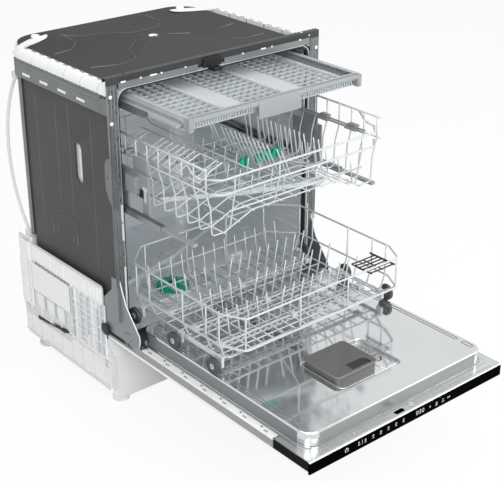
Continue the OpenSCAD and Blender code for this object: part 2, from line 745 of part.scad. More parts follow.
module middle_arm() {
    color([0.75, 0.77, 0.78]) at_front() translate([0, mid_hub_y, 506]) rotate([0, 0, -24])
        spray_arm(205, 40, 11, 22, 6.3);
}

// True where y is at least 8 away from both holders of the middle basket
function clear_of_holders(y) = min(abs(y - mid_ys[2]), abs(y - mid_ys[7])) > 8;

module middle_tines(i) {
    x = mid_row_xs[i];
    color([0.8, 0.82, 0.83]) at_front() {
        rod_y(x, mid_tine_y0, mid_tine_y1, mid_row_z, 2.5, 24);
        for (y = [mid_tine_y0 + 6 : mid_tine_pitch : mid_tine_y1 - 4]) if (clear_of_holders(y))
            wire([x, y, mid_row_z], [x - mid_tine_leans[i], y, mid_row_z + mid_tine_l], wire_d, 6);
    }
}

module middle_tines_left() { middle_tines(0); }

module middle_tines_right() { middle_tines(1); }

module cup_shelf() {
    y0 = mid_y0 + 60;
    y1 = mid_y1 - 60;
    color([0.78, 0.8, 0.81]) at_front() {
        rod_y(shelf_x, y0, y1, shelf_z, 2, 24);
        rod_y(shelf_in[0], y0, y1, shelf_in[1], 2, 24);
        for (y = [y0 + 4 : 18 : y1]) if (clear_of_holders(y))
            wire([shelf_x, y, shelf_z], [shelf_in[0], y, shelf_in[1]], wire_d, 6);
    }
}

// Third rack

module tray_rail_outer() {
    color([0.5, 0.51, 0.52]) at_front() rail_pair(tub_half - 10, rail_y0, rail_y1, tray_rail_z, 16);
}

module tray_rail_stage() {
    color([0.25, 0.26, 0.27]) at_front() both()
        box([tray_half_w + 13, tray_y0 + 110, tray_rail_z - 5], [stage_x1, tray_y0 + 480, tray_rail_z + 5]);
}

module third_tray() {
    z0 = tray_top_z - tray_h;
    cell = 23;
    nx = 2 * floor((tray_half_w - 6) / cell);
    ny = floor((tray_depth - 14) / cell);
    color([0.74, 0.76, 0.78]) at_front() {
        difference() {
            box([-tray_half_w, tray_y0, z0], [tray_half_w, tray_y1, tray_top_z]);
            box([-tray_half_w + 3, tray_y0 + 3, z0 - 1], [tray_half_w - 3, tray_y1 - 3, tray_top_z + 1]);
        }
        translate([0, tray_y0 + 1, z0]) linear_extrude(3) difference() {
            translate([-tray_half_w + 1, 0]) square([2 * tray_half_w - 2, tray_depth - 2]);
            for (x = [-nx / 2 : nx / 2 - 1], y = [0 : ny - 1])
                translate([x * cell + 1.5, 8 + y * cell]) square([cell - 3, cell - 3]);
        }
        for (x = [-80, 80]) box([x - 1.5, tray_y0 + 1, z0], [x + 1.5, tray_y1 - 1, tray_top_z - 6]);
        both() box([tray_half_w - 1, tray_y0 + 10, tray_rail_z - 4],
            [tray_half_w + 12.6, tray_y1 - 20, tray_rail_z + 4]);
    }
}

module tray_handle() {
    y = tray_y0 - 8;
    color([0.82, 0.83, 0.84]) at_front() {
        rod_x(-tray_half_w + 2, tray_half_w - 2, y, tray_top_z - 7, 6);
        box([-tray_half_w + 4, y, tray_top_z - 11], [tray_half_w - 4, tray_y0 - seat_gap, tray_top_z - 3]);
        box([-59, y - 8, tray_top_z - 40], [59, y - 4, tray_top_z - 2]);
        box([-56, y - 6, tray_top_z - 9], [56, y, tray_top_z - 4]);
        both() box([tray_half_w - 12, y - 6, tray_top_z - 30], [tray_half_w, tray_y0 - seat_gap, tray_top_z]);
    }
}

// Lower basket

module lower_axles() {
    color([0.7, 0.7, 0.7]) at_front() both()
        rod_x(low_half_w - 9, wheel_x + wheel_w + 1, wheel_ys[0], wheel_z, axle_r);
}

// Plan of the lower basket's rails, grown by g
function low_plan(g) = [[low_half_w + g, low_y1 - 60 + 0.4 * g], [low_half_w - 60 + 0.4 * g, low_y1 + g],
    [-low_half_w + 60 - 0.4 * g, low_y1 + g], [-low_half_w - g, low_y1 - 60 + 0.4 * g],
    [-low_half_w - g, low_y0 + 54 - 0.25 * g], [-low_half_w + 28 - 0.6 * g, low_y0 - g],
    [low_half_w - 28 + 0.6 * g, low_y0 - g], [low_half_w + g, low_y0 + 54 - 0.25 * g]];

// Closed rail that follows the plan at height z
module low_ring(z, d) {
    translate([0, 0, z - d / 2]) linear_extrude(d) difference() {
        polygon(low_plan(d / 2));
        polygon(low_plan(-d / 2));
    }
}

module lower_basket() {
    floor_half = low_half_w - 16;
    floor_y0 = low_y0 + 58;
    color([0.8, 0.82, 0.83]) at_front() {
        low_ring(low_top_z, rail_d);
        low_ring(low_mid_z, rail_d);
        wires([[-floor_half, floor_y0, low_floor_z], [floor_half, floor_y0, low_floor_z]], rail_d);
        for (s = [-1, 1]) {
            wire([s * floor_half, floor_y0, low_floor_z], [s * floor_half, low_y1 - 60, low_floor_z], rail_d);
            for (y = [low_post_y, -254, -173, -50, low_y1 - 64]) wires([[s * low_half_w, y, low_top_z],
                [s * low_half_w, y, low_mid_z], [s * floor_half, y, low_floor_z]], wire_d + 0.4);
        }
        for (x = [-low_half_w + 28, -70, 70, low_half_w - 28]) {
            wires([[x, low_y0, low_top_z], [x, low_y0, low_mid_z], [x, floor_y0, low_floor_z]], wire_d + 0.4);
        }
        for (y = [low_post_y, -254]) difference() {
            box([rest_x - 5, y - 2.5, rest_z - 5], [low_half_w, y + 2.5, rest_z + 5]);
            rod_y(rest_x, y - 4, y + 4, rest_z, 2.4 + pin_gap);
        }
        for (x = [70 - low_half_w, -60, 60, low_half_w - 70])
            wires([[x, low_y1, low_top_z], [x, low_y1, low_mid_z], [x, low_y1 - 14, low_floor_z]],
                wire_d + 0.4);
        wire([68 - low_half_w, low_y1 - 14, low_floor_z], [low_half_w - 68, low_y1 - 14, low_floor_z],
            wire_d + 0.4);
        for (i = [-low_floor_n : low_floor_n]) let (x = 32 * i)
            wire([x, floor_y0, low_floor_z], [x, low_y1 - 14, low_floor_z], wire_d, 6);
        for (y = [floor_y0 + 26 : 46 : low_y1 - 40])
            wire([-floor_half, y, low_floor_z - 2.6], [floor_half, y, low_floor_z - 2.6], wire_d, 6);
        for (i = [-low_floor_n : low_floor_n]) let (x = 32 * i)
            wire([x, low_row_ys[2] + row_pitch, low_floor_z],
                [x, low_row_ys[2] + row_pitch + 10, low_floor_z + 80], wire_d, 6);
        for (s = [-1, 1]) {
            difference() {
                union() {
                    for (y = wheel_ys)
                        box([s * low_wheel_x - 4, y - 9, wheel_z - 9],
                            [s * low_wheel_x + 4, y + 9, low_floor_z + 6]);
                    box([s * (low_wheel_x - 2) - 1.5, wheel_ys[0] - 8, wheel_z + 3],
                        [s * (low_wheel_x - 2) + 1.5, wheel_ys[1] + 8, low_floor_z + 5]);
                }
                rod_x(s * low_wheel_x - 6, s * low_wheel_x + 6, wheel_ys[0], wheel_z, axle_r + pin_gap);
            }
            for (i = [1 : 2])
                rod_x(s > 0 ? low_wheel_x : -wheel_x - wheel_w - 1,
                    s > 0 ? wheel_x + wheel_w + 1 : -low_wheel_x, wheel_ys[i], wheel_z, axle_r);
        }
    }
}

module tine_holders() {
    z0 = low_floor_z + wire_d / 2 + seat_gap;
    color([0.55, 0.57, 0.58]) at_front() for (y = low_row_ys, x = [-low_holder_x, 0, low_holder_x]) difference() {
        box([x - 8, y - 8, z0], [x + 8, y + 8, low_row_z + 5]);
        rod_x(x - 9, x + 9, y, low_row_z, 2.5 + pin_gap);
    }
}

module lower_tines(i) {
    y = low_row_ys[i];
    color([0.8, 0.82, 0.83]) at_front() {
        rod_x(-low_bar_x, low_bar_x, y, low_row_z, 2.5, 24);
        for (s = [-1, 1], k = [0 : floor((low_half_w - 68) / 28)])
            wire([s * (14 + 28 * k), y, low_row_z], [s * (14 + 28 * k), y, low_row_z + low_tine_l], wire_d, 6);
    }
}

module lower_tines_front() { lower_tines(0); }

module lower_tines_middle() { lower_tines(1); }

module lower_tines_rear() { lower_tines(2); }

// Wheel on the axle at y, on side s
module wheel(s, y) {
    difference() {
        translate([s * (wheel_x + wheel_w / 2), y, wheel_z]) rotate([0, 90, 0])
            rotate_extrude($fn = 64) polygon([[0, -wheel_w / 2 + 1.5], [9, -wheel_w / 2], [wheel_r - 2, -wheel_w / 2],
                [wheel_r, -wheel_w / 2 + 2], [wheel_r, wheel_w / 2 - 2], [wheel_r - 2, wheel_w / 2],
                [9, wheel_w / 2], [0, wheel_w / 2 - 1.5]]);
        rod_x(s * (wheel_x + wheel_w / 2) - 8, s * (wheel_x + wheel_w / 2) + 8, y, wheel_z, axle_r + pin_gap);
    }
}

module front_wheels() {
    color([0.25, 0.26, 0.27]) at_front() for (s = [-1, 1]) wheel(s, wheel_ys[0]);
}

module middle_wheels() {
    color([0.25, 0.26, 0.27]) at_front() for (s = [-1, 1]) wheel(s, wheel_ys[1]);
}

module rear_wheels() {
    color([0.25, 0.26, 0.27]) at_front() for (s = [-1, 1]) wheel(s, wheel_ys[2]);
}

module glass_rest() {
    y0 = low_post_y - 30;
    color([0.2, 0.2, 0.2]) at_front() {
        rod_y(rest_x, y0 - 4, low_post_y + 48, rest_z, 2.4, 24);
        for (i = [0 : 5]) wire([rest_x, y0 + i * 12, rest_z], [rest_x - 76, y0 + i * 12, rest_z], 3.4, 6);
        for (x = [rest_x - 72, rest_x - 37]) wire([x, y0 - 2, rest_z - 1.7], [x, y0 + 62, rest_z - 1.7], 3.4, 8);
    }
}

// Door, lying open: outer face down, inner panel up

module door_outer() {
    z0 = door_out_z;
    t = 1.4;
    color([0.55, 0.57, 0.56]) at_front() {
        box([-door_half, door_front_y + 5, z0], [door_half, door_back_y, z0 + t]);
        both() {
            box([door_half - t, door_front_y + 108, z0], [door_half, -30, door_mid_z - 2]);
            box([door_half - t, -31, z0], [door_half, door_back_y, z0 + 12]);
        }
        box([-door_half, door_back_y - t, z0], [door_half, door_back_y, z0 + 12]);
    }
}

// Stainless inner panel, an upturned pan with round corners
module door_inner() {
    t = 1.4;
    yc = (panel_front_y + panel_back_y) / 2;
    l = panel_back_y - panel_front_y;
    color([0.74, 0.75, 0.76]) at_front() difference() {
        union() {
            translate([0, yc, door_mid_z]) linear_extrude(door_in_z - door_mid_z)
                round_rect(inner_panel_w, l, inner_panel_r);
            translate([0, yc, door_mid_z - t]) linear_extrude(t)
                round_rect(inner_panel_w + 10, l + 2, inner_panel_r + 2);
        }
        translate([0, yc, door_mid_z - 5]) linear_extrude(door_in_z - door_mid_z + 5 - t)
            round_rect(inner_panel_w - 2 * t, l - 2 * t, inner_panel_r - t);
        box([lid_x0 - 3, lid_y1 - lid_l - 18, door_in_z - 5], [lid_x0 + dispenser_w, lid_y1 + 4, door_in_z + 1]);
    }
}

module door_trims() {
    x1 = door_half - 1.4 - seat_gap;
    x0 = panel_half + 5 + seat_gap;
    y0 = door_front_y + 112;
    color([0.93, 0.93, 0.92]) at_front() both() difference() {
        box([x0, y0, door_mid_z - 9], [x1, -64, door_mid_z - 1]);
        for (i = [0 : 5]) box([x0 + 4, y0 + 30 + i * 66, door_mid_z - 4], [x1 - 4, y0 + 52 + i * 66, door_mid_z]);
        for (i = [0 : 4]) rod_z((x0 + x1) / 2, y0 + 74 + i * 66, door_mid_z - 10, door_mid_z, 2.2);
    }
}

module control_housing() {
    z0 = door_out_z + 1.4 + seat_gap;
    y1 = panel_front_y - 1 - seat_gap;
    color([0.3, 0.3, 0.3]) at_front() difference() {
        union() {
            box([-door_half, door_front_y + 5, z0], [door_half, y1, door_mid_z]);
            both() box([panel_half + 5 + seat_gap, y1 - 1, z0], [door_half, door_front_y + 107, door_mid_z]);
        }
        box([-door_half + 3, door_front_y + 8, z0 - 1], [door_half - 3, y1 - 3, door_mid_z - 3]);
        both() box([panel_half + 8, y1 - 4, z0 - 1], [door_half - 3, door_front_y + 104, door_mid_z - 3]);
        box([-38, door_front_y + 8.4, door_mid_z - 4], [-8, y1 - 4, door_mid_z + 1]);
    }
}

module control_fascia() {
    color([0.03, 0.03, 0.03]) at_front() {
        box([-door_half, door_front_y, door_out_z], [door_half, door_front_y + 5 - seat_gap, door_mid_z]);
    }
}

module hinge_arms() {
    x1 = door_half - 1.4 - seat_gap;
    color([0.6, 0.61, 0.62]) at_front() both() {
        side_plate([[-190, 178], [-60, 178], [-40, 173], [hinge_y + 4, 173], [hinge_y + 10, 184],
            [hinge_y + 10, hinge_z + 4], [hinge_y + 4, hinge_z + 10], [hinge_y - 10, hinge_z + 10], [-60, 188],
            [-190, 188]], x1 - 3, x1);
        rod_x(x1 - 1, door_half + 4.6, hinge_y, hinge_z, hinge_pin_r);
        rod_x(x1 - 8, x1 - 1, hinge_y, hinge_z, hinge_pin_r + 3);
    }
}

module dispenser() {
    x0 = lid_x0 - 3 + seat_gap;
    x1 = lid_x0 + dispenser_w - seat_gap;
    y0 = lid_y1 - lid_l - 18 + seat_gap;
    y1 = lid_y1 + 4 - seat_gap;
    zt = door_in_z + lid_rise - 4 - seat_gap;
    color([0.5, 0.52, 0.53]) at_front() difference() {
        union() {
            box([x0, y0, door_mid_z + 4], [x1, y1, door_in_z + 1]);
            box([lid_x0 + 2, lid_y1 - lid_l + 1, door_in_z], [lid_x0 + lid_w - 4, lid_y1 - 2, zt]);
        }
        box([lid_x0 + 12, lid_y1 - lid_l + 13, door_mid_z + 8], [lid_x0 + lid_w - 16, lid_y1 - 15, zt + 1]);
        box([lid_x0 + lid_w + 4, y0 + 6, door_in_z - 8], [x1 - 4, y1 - 6, door_in_z + 2]);
        rod_z(rinse_x, rinse_y, door_mid_z + 8, door_in_z, 12);
    }
}

module dispenser_lid() {
    z0 = door_in_z + lid_rise - 4;
    color([0.4, 0.4, 0.4]) at_front() difference() {
        box([lid_x0, lid_y1 - lid_l, z0], [lid_x0 + lid_w, lid_y1, z0 + 4]);
        box([lid_x0 + 44, lid_y1 - lid_l + 8, z0 + 1.2], [lid_x0 + 96, lid_y1 - lid_l + 34, z0 + 5]);
    }
}

module rinse_cap() {
    color([0.6, 0.62, 0.63]) at_front() {
        rod_z(rinse_x, rinse_y, door_mid_z + 12, door_in_z - 6, 11.6);
        rod_z(rinse_x, rinse_y, door_in_z - 8 + seat_gap, door_in_z - 4, 15);
        box([rinse_x - 11, rinse_y - 2, door_in_z - 5], [rinse_x + 11, rinse_y + 2, door_in_z + 2]);
    }
}

tub();
front_columns();
top_crossbar();
hinge_brackets();
wall_mats();
top_mat();
edge_rails();
side_channels();
rear_strips();
spring_rods();
bowed_hose();
door_seal();
door_lock();
column_plugs();
base_tray();
plinth();
levelling_feet();
sump();
circulation_pump();
drain_pump();
softener();
inlet_valve();
water_pipes();
counterweight();
fine_filter();
filter_cup();
salt_cap();
lower_arm();
top_arm();
middle_rail_outer();
middle_rail_stage();
side_carriers();
middle_basket();
middle_arm();
middle_tines_left();
middle_tines_right();
cup_shelf();
tray_rail_outer();
tray_rail_stage();
third_tray();
tray_handle();
lower_axles();
lower_basket();
tine_holders();
lower_tines_front();
lower_tines_middle();
lower_tines_rear();
front_wheels();
middle_wheels();
rear_wheels();
glass_rest();
door_outer();
door_inner();
door_trims();
control_housing();
control_fascia();
hinge_arms();
dispenser();
dispenser_lid();
rinse_cap();
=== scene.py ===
from math import cos, pi, radians, sin, sqrt, tan

import bpy
import bmesh
from mathutils import Matrix, Vector


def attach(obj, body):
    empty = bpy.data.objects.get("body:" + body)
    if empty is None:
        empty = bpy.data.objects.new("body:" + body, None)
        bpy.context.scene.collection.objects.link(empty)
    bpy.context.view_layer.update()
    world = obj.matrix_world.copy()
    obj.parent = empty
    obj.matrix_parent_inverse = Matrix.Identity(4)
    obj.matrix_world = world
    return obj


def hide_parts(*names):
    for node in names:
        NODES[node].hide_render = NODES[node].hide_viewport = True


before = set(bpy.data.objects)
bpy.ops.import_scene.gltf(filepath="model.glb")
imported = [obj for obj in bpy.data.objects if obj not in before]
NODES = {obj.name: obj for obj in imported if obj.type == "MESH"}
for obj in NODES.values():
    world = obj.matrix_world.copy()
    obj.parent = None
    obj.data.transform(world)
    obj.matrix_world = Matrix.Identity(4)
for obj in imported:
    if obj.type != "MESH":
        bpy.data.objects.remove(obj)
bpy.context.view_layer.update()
scene = bpy.context.scene
SHELL = "white cabinet white_plastic"  # look, body and slot of the white trim

# ---- sizes, in millimetres, with y = 0 at the front plane
FRONT_Y = 66.5
SIDES = (-1, 1)
SIDED = ((-1, "_left"), (1, "_right"))
DOOR_MID, DOOR_IN = 198, 232
WHEEL_YS, WHEEL_Z = (-294, -155, -8), 252.4
WIRE, RAIL = 1.7, 2.4
HINGE_Y, HINGE_Z = -12.6, 193


def at(x, y, z):
    """A point in the row frame, in metres, from millimetres with y = 0 at the front plane."""
    return Vector((x / 1000, (y + FRONT_Y) / 1000, z / 1000))


# ---- materials
def srgb(*rgb):
    """Linear colour of an sRGB one given from 0 to 255."""
    return [c / 255 / 12.92 if c / 255 <= 0.04045 else ((c / 255 + 0.055) / 1.055) ** 2.4 for c in rgb]


def add_node(tree, kind, inputs=(), **settings):
    """Shader node with its settings; each input gets a value or the output that feeds it."""
    node = tree.nodes.new("ShaderNode" + kind)
    for key, value in settings.items():
        setattr(node, key, value)
    for key, value in dict(inputs).items():
        if isinstance(value, bpy.types.NodeSocket):
            tree.links.new(value, node.inputs[key])
        else:
            node.inputs[key].default_value = value
    return node


def mapped(tree, value, low, high, to_low=0, to_high=1):
    """Output of a node that maps low and high to two other values."""
    return add_node(tree, "MapRange", {"Value": value, "From Min": low, "From Max": high, "To Min": to_low,
        "To Max": to_high}).outputs["Result"]


M = {}


def look(name, rgb, rough, grain=450, bump=0.2, vary=0.05, depth=0.0002, rough_vary=0.08, metal=0, nodes="",
        blotch=6, edge=0, ior=1.45, coat=0, spec=0.5):
    """Material with colour variation, a grain that drives bump and roughness, and convex edges lightened towards white
    as a painted highlight; CAD nodes wear it.
    """
    M[name] = m = bpy.data.materials.new(name)
    m.use_nodes = True
    tree = m.node_tree
    colour = srgb(*rgb)
    coord = add_node(tree, "TexCoord").outputs["Object"]
    scale = grain if isinstance(grain, tuple) else (grain,) * 3
    scaled = add_node(tree, "Mapping", {"Vector": coord, "Scale": scale}).outputs["Vector"]
    fine = add_node(tree, "TexNoise", {"Vector": scaled, "Scale": 1, "Detail": 4}).outputs["Fac"]
    big = add_node(tree, "TexNoise", {"Vector": coord, "Scale": blotch, "Detail": 3}).outputs["Fac"]
    out = add_node(tree, "Mix", {"Factor": mapped(tree, big, 0.3, 0.7), "A": [c * (1 - vary) for c in colour] + [1],
        "B": [min(1, c * (1 + vary)) for c in colour] + [1]}, data_type="RGBA")
    if edge:
        # painted highlight: convex edges, found by pointiness, are mixed towards white
        painted = mapped(tree, add_node(tree, "NewGeometry").outputs["Pointiness"], 0.52, 0.6, 0, edge)
        out = add_node(tree, "Mix", {"Factor": painted, "A": out.outputs["Result"],
            "B": [c + (1 - c) * 0.5 for c in colour] + [1]}, data_type="RGBA")
    shine = mapped(tree, fine, 0.25, 0.75, max(0.02, rough - rough_vary), min(1, rough + rough_vary))
    relief = add_node(tree, "Bump", {"Height": fine, "Strength": bump, "Distance": depth}).outputs["Normal"]
    shader = tree.nodes["Principled BSDF"].inputs
    for key, value in (("Metallic", metal), ("IOR", ior), ("Specular IOR Level", spec), ("Coat Weight", coat),
            ("Coat Roughness", 0.08)):
        shader[key].default_value = value
    for key, output in (("Base Color", out.outputs["Result"]), ("Roughness", shine), ("Normal", relief)):
        tree.links.new(output, shader[key])
    for node in nodes.split():
        NODES[node].data.materials.clear()
        NODES[node].data.materials.append(m)


# name, colour, roughness, grain scale, bump strength, colour variation, bump distance, roughness variation, metallic
look("tub_steel", (224, 228, 231), 0.3, (6, 6, 900), 0.12, 0.05, 0.00008, 0.06, 0.3, nodes="tub fine_filter")
look("panel_steel", (212, 214, 215), 0.09, (900, 5, 5), 0.02, 0.02, 0.00002, 0.02, 0.92, nodes="door_inner")
look("sheet_steel", (200, 203, 203), 0.24, (900, 5, 5), 0.06, 0.03, 0.00003, 0.05, 0.7)
look("panel_wall", (140, 143, 143), 0.34, (5, 5, 900), 0.1, 0.03, 0.00006, 0.06, 0.6)
# darker copy of the door pan's steel for its side walls and beads: painted shade
look("side_steel", (124, 127, 129), 0.42, (5, 900, 900), 0.08, 0.04, 0.00005, 0.05, 0.3)
look("zinc", (122, 125, 126), 0.38, (40, 40, 300), 0.15, 0.1, 0.0001, 0.1, 0.85, blotch=18,
    nodes="front_columns side_channels rear_strips hinge_arms")
look("crossbar", (64, 66, 67), 0.5, (8, 600, 600), 0.12, 0.05, 0.0001, 0.08, 0.4, nodes="top_crossbar")
look("bracket", (132, 137, 141), 0.42, 200, 0.15, 0.06, 0.0001, 0.08, 0.45, nodes="hinge_brackets")
look("mat", (62, 62, 61), 0.62, 420, 0.55, 0.1, 0.0005, 0.1, blotch=9, edge=0.25, nodes="wall_mats")
look("top_mat", (50, 50, 50), 0.75, 380, 0.5, 0.08, 0.0005, 0.1, blotch=7, edge=0.3, spec=0.25, nodes="top_mat")
look("white", (238, 239, 239), 0.42, 500, 0.12, 0.02,
    nodes="edge_rails column_plugs plinth levelling_feet softener inlet_valve salt_cap")
# backing plate of the base tray greyer than its white ribs: painted shade of the recesses between them
look("base_white_shaded", (222, 223, 225), 0.5, 350, 0.2, 0.025, nodes="base_tray")
look("rubber", (34, 34, 34), 0.6, 500, 0.3, 0.15, nodes="spring_rods door_seal")
look("black", (22, 22, 23), 0.5, 600, 0.25, 0.1, nodes="door_lock glass_rest")
look("dark", (78, 80, 82), 0.45, 450, 0.2, 0.08, nodes="sump circulation_pump drain_pump")
look("grey", (140, 144, 146), 0.45, nodes="side_carriers tine_holders dispenser rinse_cap")
look("light", (196, 201, 204), 0.4, 500, 0.15, 0.03, nodes="water_pipes lower_arm middle_arm top_arm")
look("tray", (164, 169, 172), 0.42, 450, 0.15, 0.04, nodes="third_tray")
# handle in a darker copy of the tray's plastic: painted shade against the strong light on it
look("handle", (142, 147, 150), 0.42, 450, 0.15, 0.04, nodes="tray_handle")
look("hose", (222, 224, 220), 0.38, 300, 0.15, 0.04, nodes="bowed_hose")
look("teal", (14, 168, 142), 0.38, 450, 0.15, 0.08, nodes="filter_cup")
look("wire", (190, 195, 197), 0.32, 500, 0.1, 0.03, 0.0001, 0.06, 0.15, coat=0.2,
    nodes="middle_basket middle_tines_left middle_tines_right cup_shelf "
    "lower_basket lower_tines_front lower_tines_middle lower_tines_rear")
look("rail", (140, 144, 146), 0.32, (300, 8, 300), 0.12, 0.06, 0.0001, 0.08, 0.85,
    nodes="middle_rail_outer middle_rail_stage")
look("rail_dark", (104, 107, 109), 0.36, (300, 8, 300), 0.12, 0.06, 0.0001, 0.08, 0.7,
    nodes="tray_rail_outer tray_rail_stage")
look("cast", (96, 96, 98), 0.7, 160, 0.6, 0.12, 0.0006, 0.1, 0.3, nodes="counterweight")
look("door_sheet", (150, 152, 151), 0.4, (400, 8, 8), 0.12, 0.05, 0.0001, 0.07, 0.5, nodes="door_outer")
look("fascia", (5, 5, 6), 0.3, 600, 0.03, 0.2, 0.00003, 0.04, spec=0.02, ior=1.12, nodes="control_fascia")
look("housing", (16, 16, 17), 0.6, 500, 0.18, 0.06, spec=0.08, nodes="control_housing")
look("lid", (82, 80, 80), 0.42, 550, 0.25, 0.05, 0.0002, 0.08, 0.05, edge=0.3, nodes="dispenser_lid")
look("tyre", (62, 65, 67), 0.5, 400, 0.3, 0.1, nodes="front_wheels middle_wheels rear_wheels")
look("trim", (241, 242, 242), 0.42, 500, 0.12, 0.02, nodes="door_trims")
look("screw", (170, 172, 172), 0.25, 300, 0.1, 0.05, 0.0001, 0.08, 0.9, nodes="lower_axles")
look("print", (232, 234, 234), 0.5, 600, 0.05, 0.03, 0.0001, 0.05)


# ---- mesh helpers
def add(name, data):
    """New object in the scene."""
    o = bpy.data.objects.new(name, data)
    scene.collection.objects.link(o)
    return o


def soften(o, width):
    """Rounds an object's sharp edges by a width in millimetres."""
    b = o.modifiers.new("edges", "BEVEL")
    b.width = width / 1000
    b.segments = 2
    b.limit_method = "ANGLE"
    b.angle_limit = 0.6
    b.harden_normals = True


def place(name, mesh, dress, bevel=0, smooth=True, replaces=()):
    """Makes an object of a mesh in metres; dress names its look, the body it rides on and its slot, and the slot is not
    used.
    """
    colours, body, slot = dress.split()
    o = add(name, mesh)
    mesh.materials.append(M[colours])
    if smooth:
        for p in mesh.polygons:
            p.use_smooth = True
    if bevel:
        soften(o, bevel)
    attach(o, body)
    if replaces:
        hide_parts(*replaces)
    return o


def place_bm(name, bm, *args, **kw):
    bmesh.ops.recalc_face_normals(bm, faces=bm.faces)
    me = bpy.data.meshes.new(name)
    bm.to_mesh(me)
    bm.free()
    return place(name, me, *args, **kw)


def row(bm, points):
    """Vertices at points in millimetres."""
    return [bm.verts.new(at(*p)) for p in points]


def skin(bm, rows):
    """Faces between neighbouring closed rows of vertices; a row of one vertex is a pole."""
    for a, b in zip(rows, rows[1:]):
        n = max(len(a), len(b))
        for k in range(n):
            j = (k + 1) % n
            corners = list(dict.fromkeys([a[k % len(a)], a[j % len(a)], b[j % len(b)], b[k % len(b)]]))
            if len(corners) > 2:
                bm.faces.new(corners)


def circle(p, u, v, r, n):
    """n points round p in the plane of u and v."""
    return [p + (u * cos(t) + v * sin(t)) * r for t in [2 * pi * k / n for k in range(n)]]


def both(*items):
    """Boxes that are given for the right side, on both sides."""
    return [(s * x0, y0, z0, s * x1, y1, z1) for s in SIDES for x0, y0, z0, x1, y1, z1 in items]


def boxes(name, items, dress, bevel=0.6, **kw):
    """Boxes in one piece, each from two opposite corners in six numbers."""
    bm = bmesh.new()
    for item in items:
        xs, ys, zs = [sorted(pair) for pair in zip(item[:3], item[3:])]
        v = row(bm, [(x, y, z) for z in zs for y in ys for x in xs])
        for f in ((0, 2, 3, 1), (4, 5, 7, 6), (0, 1, 5, 4), (2, 6, 7, 3), (0, 4, 6, 2), (1, 3, 7, 5)):
            bm.faces.new([v[i] for i in f])
    return place_bm(name, bm, dress, bevel, **kw)


def lofts(name, stacks, dress, bevel=0, **kw):
    """Bodies in one piece, each skinned over a stack of closed rows of points and capped at both ends."""
    bm = bmesh.new()
    for stack in stacks:
        rows = [row(bm, points) for points in stack]
        skin(bm, rows)
        bm.faces.new(rows[0])
        bm.faces.new(rows[-1][::-1])
    return place_bm(name, bm, dress, bevel, **kw)


def fillet(points, r, steps=4):
    """Polyline with each inner corner rounded to radius r."""
    pts = [Vector(p) for p in points]
    out = [pts[0]]
    for a, b, c in zip(pts, pts[1:], pts[2:]):
        u, w = a - b, c - b
        lu, lw = u.length, w.length
        u, w = u / lu, w / lw
        ang = u.angle(w, 0)
        if ang > 3.1 or ang < 0.05:
            out.append(b)
            continue
        t = min(r / tan(ang / 2), lu * 0.45, lw * 0.45)
        p, q = b + u * t, b + w * t
        out += [p * (1 - s) ** 2 + b * 2 * s * (1 - s) + q * s * s for s in [k / steps for k in range(steps + 1)]]
    return out + [pts[-1]]


def add_tube(bm, pts, r, n, closed=False):
    """Round tube of radius r along vectors, with blunt tips unless it is closed."""
    if closed:
        pts = pts + [pts[0]]
    last = len(pts) - 1
    rows, u = [], None
    for i, p in enumerate(pts):
        if closed and i in (0, last):
            d = (pts[1] - pts[0]).normalized() + (pts[-1] - pts[-2]).normalized()
        elif i in (0, last):
            d = pts[min(i + 1, last)] - pts[max(i - 1, 0)]
        else:
            d = (pts[i + 1] - p).normalized() + (p - pts[i - 1]).normalized()
        d.normalize()
        if u is None:
            u = d.cross(Vector((0, 0, 1)) if abs(d.z) < 0.9 else Vector((1, 0, 0))).normalized()
        else:
            u = (u - d * u.dot(d)).normalized()
        rows.append(rows[0] if closed and i == last else row(bm, circle(p, u, d.cross(u), r, n)))
    skin(bm, rows)
    if not closed:
        for end, p, q in ((rows[0], pts[0], pts[1]), (rows[-1], pts[-1], pts[-2])):
            skin(bm, [end, row(bm, [p + (p - q).normalized() * r * 0.45])])


def tubes(name, lines, dress, n=8, bend=6, **kw):
    """Several wires in one piece: each line is (points, radius) or (points, radius, "closed")."""
    bm = bmesh.new()
    for pts, r, *closed in lines:
        if closed:
            middle = (Vector(pts[-1]) + Vector(pts[0])) / 2
            add_tube(bm, fillet([middle, *pts, middle], bend)[:-1], r, n, True)
        else:
            add_tube(bm, fillet(pts, bend), r, n)
    return place_bm(name, bm, dress, **kw)


def lathes(name, items, dress, n=40, **kw):
    """Turned bodies in one piece: each item is a profile of (radius, along), a centre and its axis as a letter."""
    bm = bmesh.new()
    for profile, centre, axis in items:
        along = Vector([float(letter == axis) for letter in "xyz"])
        u = Vector((0, 1, 0)) if axis == "x" else Vector((1, 0, 0))
        skin(bm, [row(bm, circle(Vector(centre) + along * h, u, along.cross(u), r, n if r else 1)) for r, h in profile])
    return place_bm(name, bm, dress, **kw)


def round_loop(x0, y0, x1, y1, r, n=6):
    """Corner-rounded rectangle as a list of 2D points."""
    pts = []
    for cx, cy, a0 in ((x1 - r, y0 + r, -90), (x1 - r, y1 - r, 0), (x0 + r, y1 - r, 90), (x0 + r, y0 + r, 180)):
        for k in range(n + 1):
            a = radians(a0 + 90 * k / n)
            pts.append((cx + r * cos(a), cy + r * sin(a)))
    return pts


